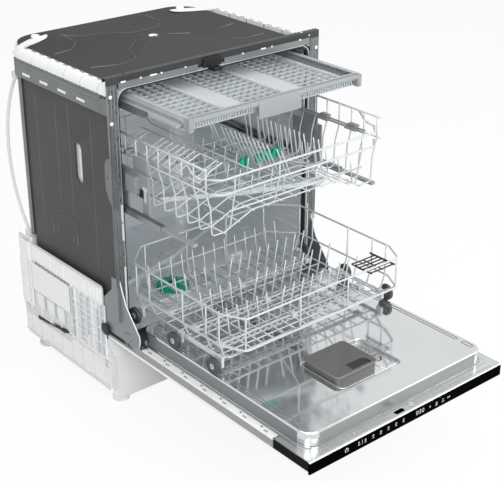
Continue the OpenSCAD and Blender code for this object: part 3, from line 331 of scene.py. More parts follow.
def plate(name, loops, thick, lift, plane, dress, bevel=0, **kw):
    """Flat sheet with holes from 2D loops, as thick both ways from lift: z for plane xy, x for plane yz."""
    cu = bpy.data.curves.new(name + "_curve", "CURVE")
    cu.dimensions = "2D"
    cu.fill_mode = "BOTH"
    cu.extrude = max(thick / 2 - bevel, 0.01) / 1000
    cu.bevel_depth = bevel / 1000
    cu.bevel_resolution = 2
    cu.offset = -bevel / 1000
    for loop in loops:
        sp = cu.splines.new("POLY")
        sp.points.add(len(loop) - 1)
        for p, (a, b) in zip(sp.points, loop):
            p.co = (a / 1000, b / 1000, 0, 1)
        sp.use_cyclic_u = True
    tmp = add(name + "_tmp", cu)
    me = bpy.data.meshes.new_from_object(tmp.evaluated_get(bpy.context.evaluated_depsgraph_get()))
    bpy.data.objects.remove(tmp)
    bpy.data.curves.remove(cu)
    if plane == "xy":
        me.transform(Matrix.Translation(Vector((0, FRONT_Y / 1000, lift / 1000))))
    else:
        me.transform(Matrix(((0, 0, 1, lift / 1000), (1, 0, 0, FRONT_Y / 1000), (0, 1, 0, 0), (0, 0, 0, 1))))
    me.materials.clear()
    return place(name, me, dress, smooth=False, **kw)


def row_of(a, b, pitch):
    return [a + pitch * i for i in range(int((b - a) / pitch))]


# ---- lower basket
half, y0, y1 = 250, -359, 62
top, mid, base = 378, 303, 262
rows, row_z = (-255, -163, -71), 268.2
low_plan = [(half, y1 - 60), (half - 60, y1), (-half + 60, y1), (-half, y1 - 60),
    (-half, y0 + 54), (-half + 28, y0), (half - 28, y0), (half, y0 + 54)]
inner, front = half - 16, y0 + 58
rails = [([(x, y, z) for x, y in low_plan], RAIL, "closed") for z in (top, mid)]
rails.append(([(-inner + 3, front + 12, base), (-inner + 12, front, base),
    (inner - 12, front, base), (inner - 3, front + 12, base)], RAIL))
for s in SIDES:
    rails.append(([(s * inner, front + 8, base), (s * inner, y1 - 60, base)], RAIL))
    for y in (-298, -254, -173, -50, y1 - 64):
        rails.append(([(s * (half - 3.5), y, top + 1.5), (s * (half - 3.5), y, mid),
            (s * (inner - 2), y, base + 3), (s * (inner - 10), y, base + 2)], WIRE + 0.2))
for x in (-222, -70, 70, 222):
    rails.append(([(x, y0 + 3.5, top + 1.5), (x, y0 + 3.5, mid), (x, front + 2, base + 3),
        (x, front + 16, base + 2)], WIRE + 0.2))
for x in (-180, -60, 60, 180):
    rails.append(([(x, y1 - 3.5, top + 1.5), (x, y1 - 3.5, mid + 2), (x, y1 - 15, base + 3),
        (x, y1 - 26, base + 2)], WIRE + 0.2))
rails.append(([(-182, y1 - 14, base), (182, y1 - 14, base)], WIRE + 0.2))
tubes("lower_basket_rails", rails, "wire lower_rack coated_wire", n=10, bend=14, replaces=("lower_basket",))

grid = []
for x in [-192 + 32 * i for i in range(13)]:
    grid.append(([(x, front - 1, base), (x, y1 - 14, base)], WIRE))
    grid.append(([(x, 21, base), (x, 32, base + 80)], WIRE))
for y in [front + 26 + 46 * i for i in range(7)]:
    grid.append(([(-inner, y, base - 2.8), (inner, y, base - 2.8)], WIRE))
for y in [y + dy for y in rows for dy in (-9, 9)]:
    grid.append(([(-216, y, base + 2.8), (216, y, base + 2.8)], WIRE - 0.2))
tubes("lower_basket_grid", grid, "wire lower_rack coated_wire", bend=5)

# square waves of wire on the grid beside each row of tines
low, high = base + 2.8, base + 8.5
wave = [([(s * (x + dx), y - 11, z) for x in range(22, 183, 16) for dx, z in ((0, low), (0, high), (6, high),
    (6, low))], 1.3) for y in rows for s in SIDES]
tubes("lower_basket_feet", wave, "wire lower_rack coated_wire", n=6, bend=2.5)

# brackets that carry the wheels
carry = both(*[(236.6, y - 8.5, WHEEL_Z - 8.5, 243.4, y + 8.5, base + 5.5) for y in WHEEL_YS],
    *[(231, y - 5, base - 1, 243, y + 5, base + 5) for y in WHEEL_YS],
    (236.7, -294, WHEEL_Z + 3.4, 239.3, -155, base + 4.4),
    *[(235.4, y - 9, base - 3.6, 240.6, y + 9, base + 4.8) for y in (-270, -225, -180)])
boxes("wheel_brackets", carry, "light lower_rack light_plastic", 1.4)
lathes("wheel_axles", [([(0, -13), (4, -13), (4, 13), (2.6, 13.4), (0, 13.4)], (s * 251, y, WHEEL_Z), "x")
    for s in SIDES for y in WHEEL_YS[1:]], "screw lower_rack axle_steel", n=24)

# wheels: tyre with two grooves, pale hub, a screw in the middle
TYRE = [(9.4, -3.6), (13, -4.4), (13.6, -3.8), (14.6, -3.8), (15.2, -4.7), (18.4, -4.8), (19.9, -3.2), (20, -0.6),
    (19.2, 0), (20, 0.6), (19.9, 3.2), (18.4, 4.8), (15.2, 4.7), (14.6, 3.8), (13.6, 3.8), (13, 4.4), (9.4, 3.6)]
HUB = [(4.1, -4.2), (8.6, -4.4), (9.5, -3.4), (9.5, 3.4), (8.6, 4.4), (6.2, 4.8), (4.1, 4.8)]
for body, y in zip(("front_wheels", "middle_wheels", "rear_wheels"), WHEEL_YS):
    spots = [(s, (s * 259, y, WHEEL_Z)) for s in SIDES]
    lathes(body + "_tyres", [(TYRE, c, "x") for s, c in spots], f"tyre {body} dark_plastic", n=48, replaces=(body,))
    lathes(body + "_hubs", [(HUB, c, "x") for s, c in spots], f"dark {body} dark_plastic", n=32)
    lathes(body + "_rings", [([(10.6, -4.2), (12.2, -4.5), (12.2, 4.5), (10.6, 4.2)], c, "x") for s, c in spots],
        f"dark {body} dark_plastic", n=36)
    lathes(body + "_screws", [([(r, s * h) for r, h in ((4.1, 4), (6.4, 4.3), (6.4, 4.9), (4.1, 4.9))], c, "x")
        for s, c in spots], f"light {body} dark_plastic", n=28)

# ---- fold-down tines and their holders
for body, y in zip(("lower_tines_front", "lower_tines_middle", "lower_tines_rear"), rows):
    lines = [([(-215, y, row_z), (215, y, row_z)], 2.4)]
    for x in [s * (14 + 28 * k) for s in SIDES for k in range(7)]:
        lines.append(([(x, y, row_z), (x + (16 if x > -60 else -10), y, row_z + 82)], WIRE))
    tubes(body + "_wires", lines, f"wire {body} coated_wire", replaces=(body,))
clips = []
for x, y in [(x, y) for y in rows for x in (-208, 0, 208)]:
    clips += [(x - 8, y + dy, base + 2.2, x + 8, y + dy + 4.4, row_z + 4) for dy in (-8, 3.6)]
    clips += [(x + dx, y - 7, base + 2.2, x + dx + 3, y + 7, base + 3.6) for dx in (-8, 5)]
    clips.append((x - 6.4, y - 6, row_z + 2.7, x + 6.4, y + 6, row_z + 4.9))
boxes("tine_holder_clips", clips, "light lower_rack grey_plastic", 1, replaces=("tine_holders",))

# ---- glass rest with rounded fingers
gx, gz, gy = half - 8, 344, -328
comb = [([(gx, gy - 3, gz), (gx, -252, gz)], 2.3)]
for y in [gy + i * 12 for i in range(6)]:
    comb.append(([(gx, y, gz), (gx - 30, y, gz), (gx - 58, y, gz), (gx - 73, y + 1, gz + 0.6)], 1.7))
for x in (gx - 72, gx - 37):
    comb.append(([(x, gy - 2, gz - 1.2), (x, gy + 62, gz - 1.2)], 1.5))
comb.append(([(gx - 74, gy - 1, gz), (gx - 76, gy + 30, gz), (gx - 74, gy + 61, gz)], 1.6))
tubes("glass_rest_comb", comb, "black glass_rest black_plastic", bend=10, replaces=("glass_rest",))


# ---- middle basket
half, y0, y1, top, base, dip, row_z = 245, -278, 128, 679, 560, 530, 566.2
ys = [y0 + 22 + i * (y1 - y0 - 44) / 9 for i in range(10)]


def floor_at(x):
    return base if abs(x) < 120 else base - (abs(x) - 120) / 75 * (base - dip)


def is_free(y):
    return min(abs(y - ys[2]), abs(y - ys[7])) > 8


rails, thin = [], []
front_z = top - 24
for s in SIDES:
    x = s * half
    rails.append(([(x, y0 + 16, top), (x, y1 - 10, top)], RAIL))
    rails.append(([(x, y0 + 34, front_z), (x, y0 + 60, front_z + 3), (x, y0 + 84, top)], RAIL))
    thin.append(([(x, y0 + 12, 632), (x, y1 - 10, 632)], WIRE))
    for y in ys:
        thin.append(([(s * (half - 3.4), y, top + 1.4), (s * (half - 3.4), y, 628), (s * (half - 14), y, 592),
            (s * (half - 17), y, dip), (s * 195, y, dip), (s * 120, y, base), (s * 8, y, base), (0, y, base)], WIRE))
for z in (front_z, 623):
    rails.append(([(-half, y0 + 34, z), (-half + 30, y0 + 2.5, z), (half - 30, y0 + 2.5, z),
        (half, y0 + 34, z)], RAIL))
rails.append(([(-half, y1 - 12, top - 2.9), (half, y1 - 12, top - 2.9)], RAIL - 0.4))
rails.append(([(-190, ys[0] - 8, 577), (190, ys[0] - 8, 577)], RAIL - 0.4))
thin.append(([(-128, y0 + 4, top - 25), (-128, y0 + 40, 652), (-128, y1 - 40, 656), (-128, y1 - 12, top - 4)], WIRE))
for x in (-180, -60, 60, 180):
    z = floor_at(x)
    thin.append(([(x, y0 + 6, top - 22), (x, y0 + 6, 623), (x, ys[0], z), (x, ys[0] + 20, z)], WIRE))
    thin.append(([(x, y1 - 15, top - 2), (x, ys[9], z), (x, ys[9] - 16, z)], WIRE))
for x in [-195 + 39 * i for i in range(11)]:
    thin.append(([(x, y0 + 20, floor_at(x) - 2.8), (x, y1 - 12, floor_at(x) - 2.8)], WIRE))
tubes("middle_basket_rails", rails, "wire middle_rack coated_wire", n=10, bend=10, replaces=("middle_basket",))
tubes("middle_basket_wires", thin, "wire middle_rack coated_wire", bend=9)

# fixed short tines between the rows and the comb loops by the cup shelf
fixed = []
for y in [ys[0] + 20 + i * 40.2 for i in range(9)]:
    fixed += [([(x, y, base), (x + 7, y, base + 46)], WIRE - 0.2) for x in (-76, -20)]
    fixed.append(([(190, y, 533), (182, y, 584)], WIRE - 0.2))
tubes("middle_basket_tines", fixed, "wire middle_rack coated_wire", n=7)

# hub and feed tube of the middle spray arm
tube = [(0, 0), (8, 0), (8, 90), (7, 92), (7, 170), (8, 172), (8, 205), (6, 206.8), (0, 206.8)]
hub = [(0, 503.6), (9, 503.6), (9, 505.6), (6, 505.8), (6, 519), (8.5, 521), (8.5, 530), (7, 534), (0, 534)]
lathes("middle_feed", [(tube, (0, -78, 528), "y"), (hub, (0, -68, 0), "z")], "light middle_rack light_plastic", n=32)
hold = [(-5, y - 5, 534, 5, y + 5, base + 2) for y in (ys[6], ys[8])]
for x, y in [(x, y) for x in (40, 128) for y in (ys[2], ys[7])]:
    hold += [(x + dx, y - 5, base + 1, x + dx + 4.6, y + 5, row_z + 4.8) for dx in (-8, 3.4)]
    hold.append((x - 6, y - 4, row_z + 2.8, x + 6, y + 4, row_z + 4.9))
boxes("middle_basket_clips", hold, "wire middle_rack coated_wire", 0.9)
teal = []
for i in range(9):
    x, rise = 8 + 15.6 * i, 2 * (i % 3)
    if min(abs(x - 40), abs(x - 128)) > 9:
        teal.append((x - 5.4, -70.6, base + 1.9, x + 5.4, -61.6, base + 19 + rise))
        teal.append((x - 3.4, -71.2, base + 12, x + 3.4, -61, base + 24 + rise))
boxes("middle_basket_teal_clips", teal, "teal middle_rack coated_wire", 1.8)
strip = [(231.5, -229, 640.4, 235.5, -12, 643.6), (226.5, -229, 636.4, 229.5, -12, 639.4)]
for a, b in ((-205, -168), (-112, -76)):
    strip += [(225, a, 634, 238, b, 641), (232, a + 5, 641, 243.5, b - 5, 647)]
    strip += [(227, a + 6 + 7 * k, 641, 231, a + 9 + 7 * k, 645) for k in range(4)]
boxes("middle_basket_strip", strip, "grey middle_rack coated_wire", 1.2)
slides = [(-half + 2, y - 5, 628.4, -221, y + 5, 639.6) for y in (ys[2], ys[7])]
slides += both((half - 0.9, ys[5] - 5, 587, half + 2.2, ys[6] + 5, 637))
boxes("middle_basket_slides", slides, "grey middle_rack grey_plastic", 1.2)

for body, x, lean in (("middle_tines_left", 40, 34), ("middle_tines_right", 128, 14)):
    lines = [([(x, y0 + 70, row_z), (x, y1 - 60, row_z)], 2.4)]
    lines += [([(x, y, row_z), (x - lean, y, row_z + 76)], WIRE)
        for y in [y0 + 76 + 16 * i for i in range(17)] if is_free(y)]
    tubes(body + "_wires", lines, f"wire {body} coated_wire", replaces=(body,))

# carriers: black window and catches on the outer face
boxes("carrier_windows", both((251.2, -52, 552, 252.3, -36, 572)), "black middle_carriers grey_plastic", 0.3)
boxes("carrier_catches", both((251, -62, 545, 252.6, -54, 578), (251, -30, 583, 252.4, 12, 588),
    (251, -66, 572, 252.8, -50, 580)), "light middle_carriers grey_plastic")


# cup shelf: tilted comb of square loops on its hinge rod
def on_shelf(q, y, up=0):
    """Point q from the shelf's hinge rod along its tilt."""
    c, d = cos(radians(25)), sin(radians(25))
    return (-227 + q * c - up * d, y, 634 + q * d + up * c)


y0, y1 = y0 + 60, y1 - 60
lines = [([on_shelf(0, y0), on_shelf(0, y1)], 2), ([on_shelf(66, y0 + 2), on_shelf(66, y1 - 2)], 1.4),
    ([on_shelf(30, y0 + 2, 1.6), on_shelf(30, y1 - 2, 1.6)], 1.2)]
for y in [y0 + 4 + 36 * i for i in range(8)]:
    if is_free(y) and is_free(y + 18):
        lines += [([on_shelf(q, y + dy, up) for q, dy, up in loop], r) for r, loop in (
            (1.7, ((0, 0, 0), (22, 0, 0), (34, 0, 3), (66, 0, 0), (66, 18, 0), (34, 18, 3), (22, 18, 0), (0, 18, 0))),
            (1.2, ((2, 6, 0), (44, 6, 1), (44, 12, 1), (2, 12, 0))))]
tubes("cup_shelf_comb", lines, "wire cup_shelf coated_wire", bend=5, replaces=("cup_shelf",))

# ---- third rack: lattice tray with comb ribs and a tubular handle
half, y0, y1, top, low = 240, -190, 220, 768, 740
bars = both((half, y0 + 1, top - 2.8, half - 3, y1, top), (half, y0 + 1, top - 14.4, half - 3, y1, top - 12),
    (half, y0 + 1, top - 14.4, half - 3, y0 + 6, top), (half, y0 + 1, low, half - 2, y1, low + 5),
    (half - 12, y0 + 2, top - 2.6, half - 2, y1 - 1, top), (half - 1, y0 + 12, 746.4, half + 12.4, y1 - 22, 753.6))
bars += [(-half, y0, low + 12, half, y0 + 3, top), (-half, y1 - 3, low, half, y1, top),
    (-half, y0, low, half, y0 + 3, low + 4)]
boxes("third_tray_rim", bars, "tray third_rack light_plastic", 0.9, replaces=("third_tray",))
# dark sheet behind the side comb teeth: painted shade in the rim's hollow
boxes("third_tray_recess_shade", both((half - 1.9, y0 + 4, top - 13, half - 2.7, y1 - 2, top - 2)),
    "dark third_rack light_plastic", 0)

# comb teeth standing in the long side walls and along the front
teeth = both(*[(half - 0.2, y, top - 13, half - 3.2, y + 2.4, top - 2) for y in row_of(y0 + 8, y1 - 4, 5.2)])
teeth += [(x, y0 + 0.4, low + 3, x + 3.2, y0 + 2.4, low + 13) for x in row_of(-half + 8, half - 6, 7.2)]
boxes("third_tray_teeth", teeth, "light third_rack light_plastic", 0)

# lattice floor in three fields with a fine ridge on each bar, flat bands with comb teeth between them
lattice, ridges = [], []
for a, b in ((-half + 6, -105), (-61, 61), (105, half - 6)):
    n = int(round((b - a) / 21.5))
    for x in [a + (b - a) * i / n for i in range(n + 1)]:
        lattice.append((x - 4.2, y0 + 3, low + 0.6, x + 4.2, y1 - 3, low + 4.2))
        ridges.append((x - 0.9, y0 + 3, low + 3, x + 0.9, y1 - 3, low + 5.8))
    for y in row_of(y0 + 10, y1 - 4, 21.2):
        lattice.append((a, y - 4.2, low + 0.4, b, y + 4.2, low + 4))
        ridges.append((a, y - 0.9, low + 3, b, y + 0.9, low + 5.6))
bands = both((61, y0 + 3, low + 9, 105, y1 - 3, low + 12),
    *[(x, y0 + 3, low + 1, x + 3, y1 - 3, low + 11) for x in (64, 99)])
ticks = both(*[(x, y, low + 2, x + 2.6, y + 2.4, low + 11.4) for y in row_of(y0 + 8, y1 - 6, 5.6)
    for x in (59, 104.4, half - 14)])
boxes("third_tray_lattice", lattice, "tray third_rack light_plastic", 0.7)
boxes("third_tray_ridges", ridges, "light third_rack light_plastic", 0.3)
boxes("third_tray_bands", bands, "light third_rack light_plastic", 1)
boxes("third_tray_combs", ticks, "white third_rack light_plastic", 0)

# handle: tube over the whole width, wedge corners, centre plate
hy = y0 - 8
lathes("tray_handle_tube", [([(0, -238), (4, -238), (5.6, -236), (6, -233), (6, 233), (5.6, 236), (4, 238), (0, 238)],
    (0, hy, top - 7), "x")], "handle third_rack light_plastic", n=28, replaces=("tray_handle",))
boxes("tray_handle_corners", [(-236, hy + 1, top - 10.6, 236, y0 - 0.3, top - 3.4)] + both(
    (228, hy - 6, top - 29, 240, y0 - 0.3, top - 0.4), (231, hy - 7.4, top - 27, 237, hy - 5, top - 16)),
    "handle third_rack light_plastic", 1.8)
grip = [(5, -1.2), (-4, -1), (-7.2, -4), (-8, -9), (-8, -38), (-7.4, -40), (-4.8, -40), (-4.2, -38), (-4.2, -12),
    (5, -9)]
lofts("tray_handle_grip", [[[(x, hy + y + (-4 - y) * inset, top + z + (-20 - z) * inset) for y, z in grip]
    for x, inset in ((-59, 0.06), (-57.5, 0), (57.5, 0), (59, 0.06))]],
    "handle third_rack light_plastic", 0.8)

# ---- door
half, front, rear = 262, -591, -32
plate("door_inner_pan", [round_loop(-half, front, half, rear, 30, 12), round_loop(-95, -513, 81, -381, 12, 6)],
    DOOR_IN - DOOR_MID + 1.4, (DOOR_IN + DOOR_MID - 1.4) / 2, "xy", "panel_steel door stainless", 3.5,
    replaces=("door_inner",))
plate("door_inner_flange", [round_loop(-half - 5, front - 1, half + 5, rear + 1, 32, 10),
    round_loop(-half + 2, front + 2, half - 2, rear - 2, 28, 10)],
    1.2, DOOR_MID - 0.6, "xy", "panel_steel door stainless", 0.3)
# side walls of the pan in the darker copy of its steel: painted shade
boxes("door_inner_sides", both((half - 0.6, front + 31, 200, half + 0.35, rear - 31, 228.6)),
    "side_steel door stainless", 0.3)
boxes("door_inner_front", [(31 - half, front - 0.35, 200, half - 31, front + 0.6, 228.6)],
    "panel_wall door stainless", 0.3)
beads = []
for x in [s * (half - 15) for s in SIDES]:
    for w, y0, y1 in ((4, front + 66, rear - 40), (5, front + 22, front + 50)):
        beads.append(([(x + dx, y, DOOR_IN - 0.1) for dx, y in ((-w, y0), (w, y0), (w, y1), (-w, y1))], 1.1, "closed"))
tubes("door_inner_beads", beads, "side_steel door stainless", bend=3.8)

# top of the control housing: pale sheet with fine seams, a latch slot and a round detail
bow = [(235.4 + 32.2 * cos(t), -560.4 - 32.2 * sin(t)) for t in [pi / 2 * k / 8 for k in range(9)]]
sheet = [(-284.6, -618), (284.6, -618), (284.6, -516.5), (267.6, -516.5)] + bow + [(-x, y) for x, y in bow[::-1]]
sheet += [(-267.6, -516.5), (-284.6, -516.5)]
plate("control_top", [sheet, round_loop(-36, -614, -10, -602.4, 2, 3)], 1, DOOR_MID + 0.1, "xy",
    "sheet_steel door door_sheet", 0.25)
low, high = DOOR_MID + 0.3, DOOR_MID + 0.72
seams = [(x0, y - 0.35, low, x1, y + 0.35, high) for y, x0, x1 in ((-612.5, -262, -44), (-612.5, 0, 262),
    (-607.5, -240, -60), (-607.5, 14, 180), (-601.5, -262, -44), (-601.5, 0, 120), (-596.5, -262, 262))]
seams += both((268.2, -592, low, 268.9, -517, high), (283, -616, low, 283.8, -517, high),
    (269, -560, low, 283, -559.2, high))
boxes("control_seams", seams, "dark door dark_plastic", 0)
lathes("control_button", [([(0, 0.4), (3.4, 0.4), (4.6, 0.9), (4.6, 1.5), (5.6, 1.5), (6, 0.4)], (16, -605, DOOR_MID),
    "z")] + [([(0, 0.4), (2, 0.4), (2.6, 1.2), (0, 1.3)], (x, -604.5, DOOR_MID), "z") for x in (-150, 205)],
    "light door light_plastic", n=24)

# gloss fascia with generic marks and three digits
boxes("fascia_gloss", [(-284.9, -622.7, 170.2, 284.9, -618.3, 196.2)], "fascia door fascia_black", 0.8,
    replaces=("control_fascia",))
boxes("fascia_edge", [(-284.9, -622.6, 196.6, 284.9, -618.3, 198)], "white door light_plastic", 0.4)
marks = []


def bar(x0, z0, x1, z1):
    marks.append((x0, -622.86, z0, x1, -622.5, z1))


def arc(cx, cz, r, w, a0, a1, step):
    """Arc on the fascia's front as short square bits."""
    for a in range(a0, a1, step):
        x, z = cx + r * cos(radians(a)), cz + r * sin(radians(a))
        bar(x - w / 2, z - w / 2, x + w / 2, z + w / 2)


def digit(x, z, segments, w=5.2, h=9.6, t=0.95):
    """Digit from the usual seven segments a to g."""
    for k in segments:
        x0, z0, x1, z1 = {"a": (0, h - t, w, h), "b": (w - t, h / 2, w, h), "c": (w - t, 0, w, h / 2),
            "d": (0, 0, w, t), "e": (0, 0, t, h / 2), "f": (0, h / 2, t, h),
            "g": (0, h / 2 - t / 2, w, h / 2 + t / 2)}[k]
        bar(x + x0, z + z0, x + x1, z + z1)


arc(-186, 184, 4.4, 1, -60, 250, 14)
bar(-186.5, 184, -185.5, 190)
for x in (-152, -134, -112, -90, -68, -46, -24):
    bar(x - 3, 180.4, x + 3, 181.3)
    arc(x, 186, 2.2, 0.8, 0, 360, 40)
    bar(x - 0.4, 183, x + 0.4, 188.6)
bar(-143.4, 179, -142.8, 190)
for x, segments in ((14, "abcdef"), (23, "abcdg"), (32, "abcdef")):
    digit(x, 179.6, segments)
bar(20.6, 182.2, 21.6, 183.2)
bar(20.6, 185.4, 21.6, 186.4)
for x in (56, 76, 112, 116):
    bar(x - 2.4, 182.6, x + 2.4, 183.4)
    bar(x - 0.4, 180.6, x + 0.4, 185.6)
for x in (76, 96):
    arc(x, 184, 2.6, 0.8, 0, 300, 36)
    bar(x - 4, 178.8, x + 4, 179.5)
boxes("fascia_marks", marks, "print door light_plastic", 0)

# long white side trims: ribs, seams, screws
ribs = both((267.6, -510, 189.2, 283, -65, 194.6), *[
    (x0, y, 189.2, x1, y + 73.2, z1) for y in [-510 + k * 74.2 for k in range(6)]
    for x0, x1, z1 in ((267.4, 269.6, 197), (270.6, 274.2, 196.2), (275.2, 278.8, 196.6), (279.8, 283.2, 197))])
slot_ys = [-490 + k * 66 for k in range(7)]
boxes("door_trim_ribs", ribs, "trim door white_plastic", 0.5, replaces=("door_trims",))
boxes("door_trim_slots", both(*[(275.4, y, 196.5, 278.6, y + 12, 196.8) for y in slot_ys]),
    "grey door dark_plastic", 0)
lathes("door_trim_screws", [([(0, 0), (2.9, 0), (2.9, 0.8), (2.2, 1.3), (0.8, 1.3), (0.6, 0.7), (0, 0.7)],
    (s * 272.4, y + 24, 196), "z") for s in SIDES for y in slot_ys], "grey door axle_steel", n=16)
# thin white strips along the door's edges: painted edge highlights
boxes("door_edge_highlights", both((284.7, -618, 170, 285.5, 69.9, 176.5), (283.4, -514, 194.6, 285.3, -66, 196.2))
    + [(-285, 69.4, 170.2, 285, 70, 181)], "white door white_plastic", 0.3)
lathes("hinge_rollers", [([(0, -2.6), (8, -2.6), (9.4, -1.4), (9.4, 1.4), (8, 2.6), (3, 2.6), (0, 2.2)],
    (s * 279.4, -58, 194), "x") for s in SIDES], "dark door black_rubber", n=32)

# dispenser: mirror-like tray with rounded corners, dark block, lid with a wedge-shaped finger recess
plate("dispenser_tray", [round_loop(-94.6, -512.6, 80.6, -381.4, 11.6, 6)], 1.2, 227.4, "xy",
    "panel_steel door stainless", 0.3, replaces=("dispenser",))
tubes("dispenser_rim", [([(x, y, z) for x, y in ((x0, y0), (x1, y0), (x1, y1), (x0, y1))], r, "closed")
    for x0, y0, x1, y1, z, r in ((-94, -512, 80, -382, 231.8, 1), (34, -504, 72, -390, 228.2, 0.7))],
    "panel_steel door stainless", bend=14)
plate("dispenser_block", [round_loop(-90, -493.6, 26, -387.4, 9, 5)], 17.4, 236, "xy", "lid door grey_plastic", 1.2)
lid = [(-84, -494.6), (22, -494.6), (29.6, -487), (29.6, -393), (22, -385.4), (-84, -385.4), (-91.6, -393),
    (-91.6, -487)]
plate("dispenser_lid_plate", [lid, [(-40, -488), (14, -488), (14, -470), (6, -464), (-40, -464)]], 3.8, 247, "xy",
    "lid dispenser_lid dark_plastic", 1, replaces=("dispenser_lid",))
lofts("dispenser_lid_wedge", [[[(-41, -489, z0), (15, -489, z0), (15, -463, z1), (-41, -463, z1)]
    for z0, z1 in ((245.2, 248.3), (245.1, 245.1))]],
    "black dispenser_lid dark_plastic", 0.2, smooth=False)
boxes("dispenser_lid_marks", [(-36, -404, 248.6, -22, -400, 249), (-24, -404, 248.6, -22, -394, 249),
    (-88, -440, 248.7, 28, -439.4, 248.98)], "dark dispenser_lid dark_plastic", 0.1)
lathes("rinse_cap_disc", [([(0, 210), (11.5, 210), (11.5, 224), (15, 224.4), (15, 226.6), (14, 228), (11, 228),
    (10, 227.2), (0, 227.2)], (54, -462, 0), "z")], "grey rinse_cap grey_plastic", replaces=("rinse_cap",))
boxes("rinse_cap_grip", [(43, -464, 226.8, 65, -460, 233.8)], "grey rinse_cap grey_plastic", 1.2)

# ---- cabinet: softened edges on the CAD sheet parts
SOFT_EDGES = {0.4: "front_columns top_crossbar side_channels", 0.6: "door_lock", 0.9: "wall_mats", 1: "plinth",
    1.2: "top_mat", 0.8: "base_tray sump inlet_valve side_carriers drain_pump circulation_pump salt_cap water_pipes",
    2: "counterweight softener"}
for width, nodes in SOFT_EDGES.items():
    for o in [NODES[node] for node in nodes.split()]:
        o.modifiers.new("weld", "WELD").merge_threshold = 0.00002
        soften(o, width)

# white edge rails: quarter-round segments with dark seams between them
EDGE = [(274.8, 776.4), (274.8, 797.6), (279, 797.8), (284, 796.8), (289, 794.2), (293.6, 790), (296.8, 785),
    (298.6, 779.5), (298.8, 776.4), (296.4, 776.4), (294, 783), (290, 788.6), (285, 792.6), (279, 794.6),
    (277.4, 794.6), (277.4, 776.4)]
SEAMS = [4.2, 37.6, 104.4, 171.2, 238, 304.8, 371.6]
for s, side in SIDED:
    lofts("edge_rail" + side, [[[(s * x, y, z) for x, z in EDGE] for y in (y0, y1 - 1.3)]
        for y0, y1 in zip(SEAMS, SEAMS[1:])], SHELL, 0.5, replaces=("edge_rails",) if s < 0 else ())
    lofts("edge_rail_seams" + side, [[[(s * (274 + (x - 274) * 0.97), y, 772 + (z - 772) * 0.97)
        for x, z in EDGE] for y in (mid - 2, mid + 0.6)] for mid in SEAMS[1:-1]], "dark cabinet white_plastic")
slot_ys = [38 + k * 33.4 for k in range(-1, 10)]
boxes("edge_rail_slots", both(*[(276.5, y + 7, 797.4, 280.5, y + 25, 798) for y in slot_ys]),
    "grey cabinet grey_plastic", 0)
boxes("edge_rail_tabs", both(*[(292, y + dy, 774.2, 297.4, y + dy + 7, 777.4) for y in slot_ys for dy in (5, 20)]),
    SHELL, 0.4)
# straps from the rails round the rear corners, each with an eyelet
inner = [(274.8, 371), (268, 377), (253, 386), (236, 393), (216, 400), (198, 408), (187, 416), (180, 426)]
outer = [(298.8, 371), (296.6, 386), (289, 403), (276, 418), (257, 431), (233, 441), (207, 446), (186, 438)]
rise = [(0, -3), (0.03, 2.4), (0.4, 2), (0.66, -1.6), (0.85, -7), (1, -15.6), (0.92, -15.6), (0.62, -4.4),
    (0.4, -0.6), (0.08, -0.2)]
for s, side in SIDED:
    stack = []
    for k, ((x0, y0), (x1, y1)) in enumerate(zip(inner, outer)):
        flat = min(1, 1.66 - 0.22 * k)
        stack.append([(s * (x0 + (x1 - x0) * f), y0 + (y1 - y0) * f, 795.4 + (h * flat if h < 0 else h))
            for f, h in rise])
    lofts("edge_rail_strap" + side, [stack], SHELL, 0.3)
eyes = [(s * 212, 428, 0) for s in SIDES]
lathes("edge_rail_eyelets", [([(4.4, 796), (9.4, 796), (10.4, 798), (9.6, 801.4), (7.6, 802), (5.4, 801.2), (4.4, 799),
    (4.4, 796)], c, "z") for c in eyes], SHELL, n=32)
lathes("edge_rail_eyelet_holes", [([(0, 797), (3.9, 797), (3.9, 797.9), (0, 798)], c, "z") for c in eyes],
    "grey cabinet white_plastic", n=24)

# side channels: white tabs in the slots and a long bright fold
boxes("side_channel_tabs", both(*[(294.2, y, 740.4, 297.6, y + 32, 746.6) for y in (90, 166, 242, 318)]), SHELL, 0.8)
boxes("side_channel_folds", both((295.6, 34, 757, 297.6, 382, 758.6), (295.6, 34, 768, 297.9, 382, 769.4),
    (295.6, 34, 773, 298.3, 382, 775)), "zinc cabinet zinc_sheet", 0.5)

# embossing of the side mats: an arch, long upright creases, the rim of the window
relief = []
for x, out in [(s * 277.4, s * 277.6) for s in SIDES]:
    relief += [([(x, y, z) for y, z in line], r) for r, line in ((2.2, ((187, 364), (187, 392), (196, 414), (216, 428),
        (240, 431), (264, 428), (284, 414), (293, 392), (293, 364))), (1.4, ((205, 364), (205, 388), (214, 404),
        (240, 412), (266, 404), (275, 388), (275, 364))), (1.2, ((60, 260), (120, 250), (290, 250), (372, 276))))]
    for y, z1, z2 in ((104, 330, 700), (196, 440, 715), (250, 445, 690), (336, 380, 700)):
        relief.append(([(out, y, z1), (out, y - 1, (z1 + z2) / 2), (out, y, z2)], 0.9))
    relief.append(([(x, 162 + 15.6 * cos(t), 576 + (34 if sin(t) >= 0 else -34) + 15.6 * sin(t))
        for t in [2 * pi * (k + 0.5) / 20 for k in range(20)]], 1, "closed"))
tubes("side_mat_embossing", relief, "mat cabinet mat", n=10, bend=12)
relief = [([(x, y, 791.7) for x, y in line], r) for r, line in (
    (1.8, ((-238, 150), (-170, 128), (-118, 150), (-96, 214), (-40, 262), (44, 270), (98, 236))),
    (1.8, ((-150, 420), (-120, 380), (-60, 368), (-8, 330), (70, 330), (110, 372), (112, 440))),
    (1.6, ((-244, 290), (-190, 300), (-150, 350), (-146, 420))),
    (1.6, ((230, 120), (160, 118), (140, 160), (166, 220), (236, 240))), (1.2, ((-230, 70), (230, 70))))]
tubes("top_mat_embossing", relief, "top_mat cabinet mat", n=10, bend=30)
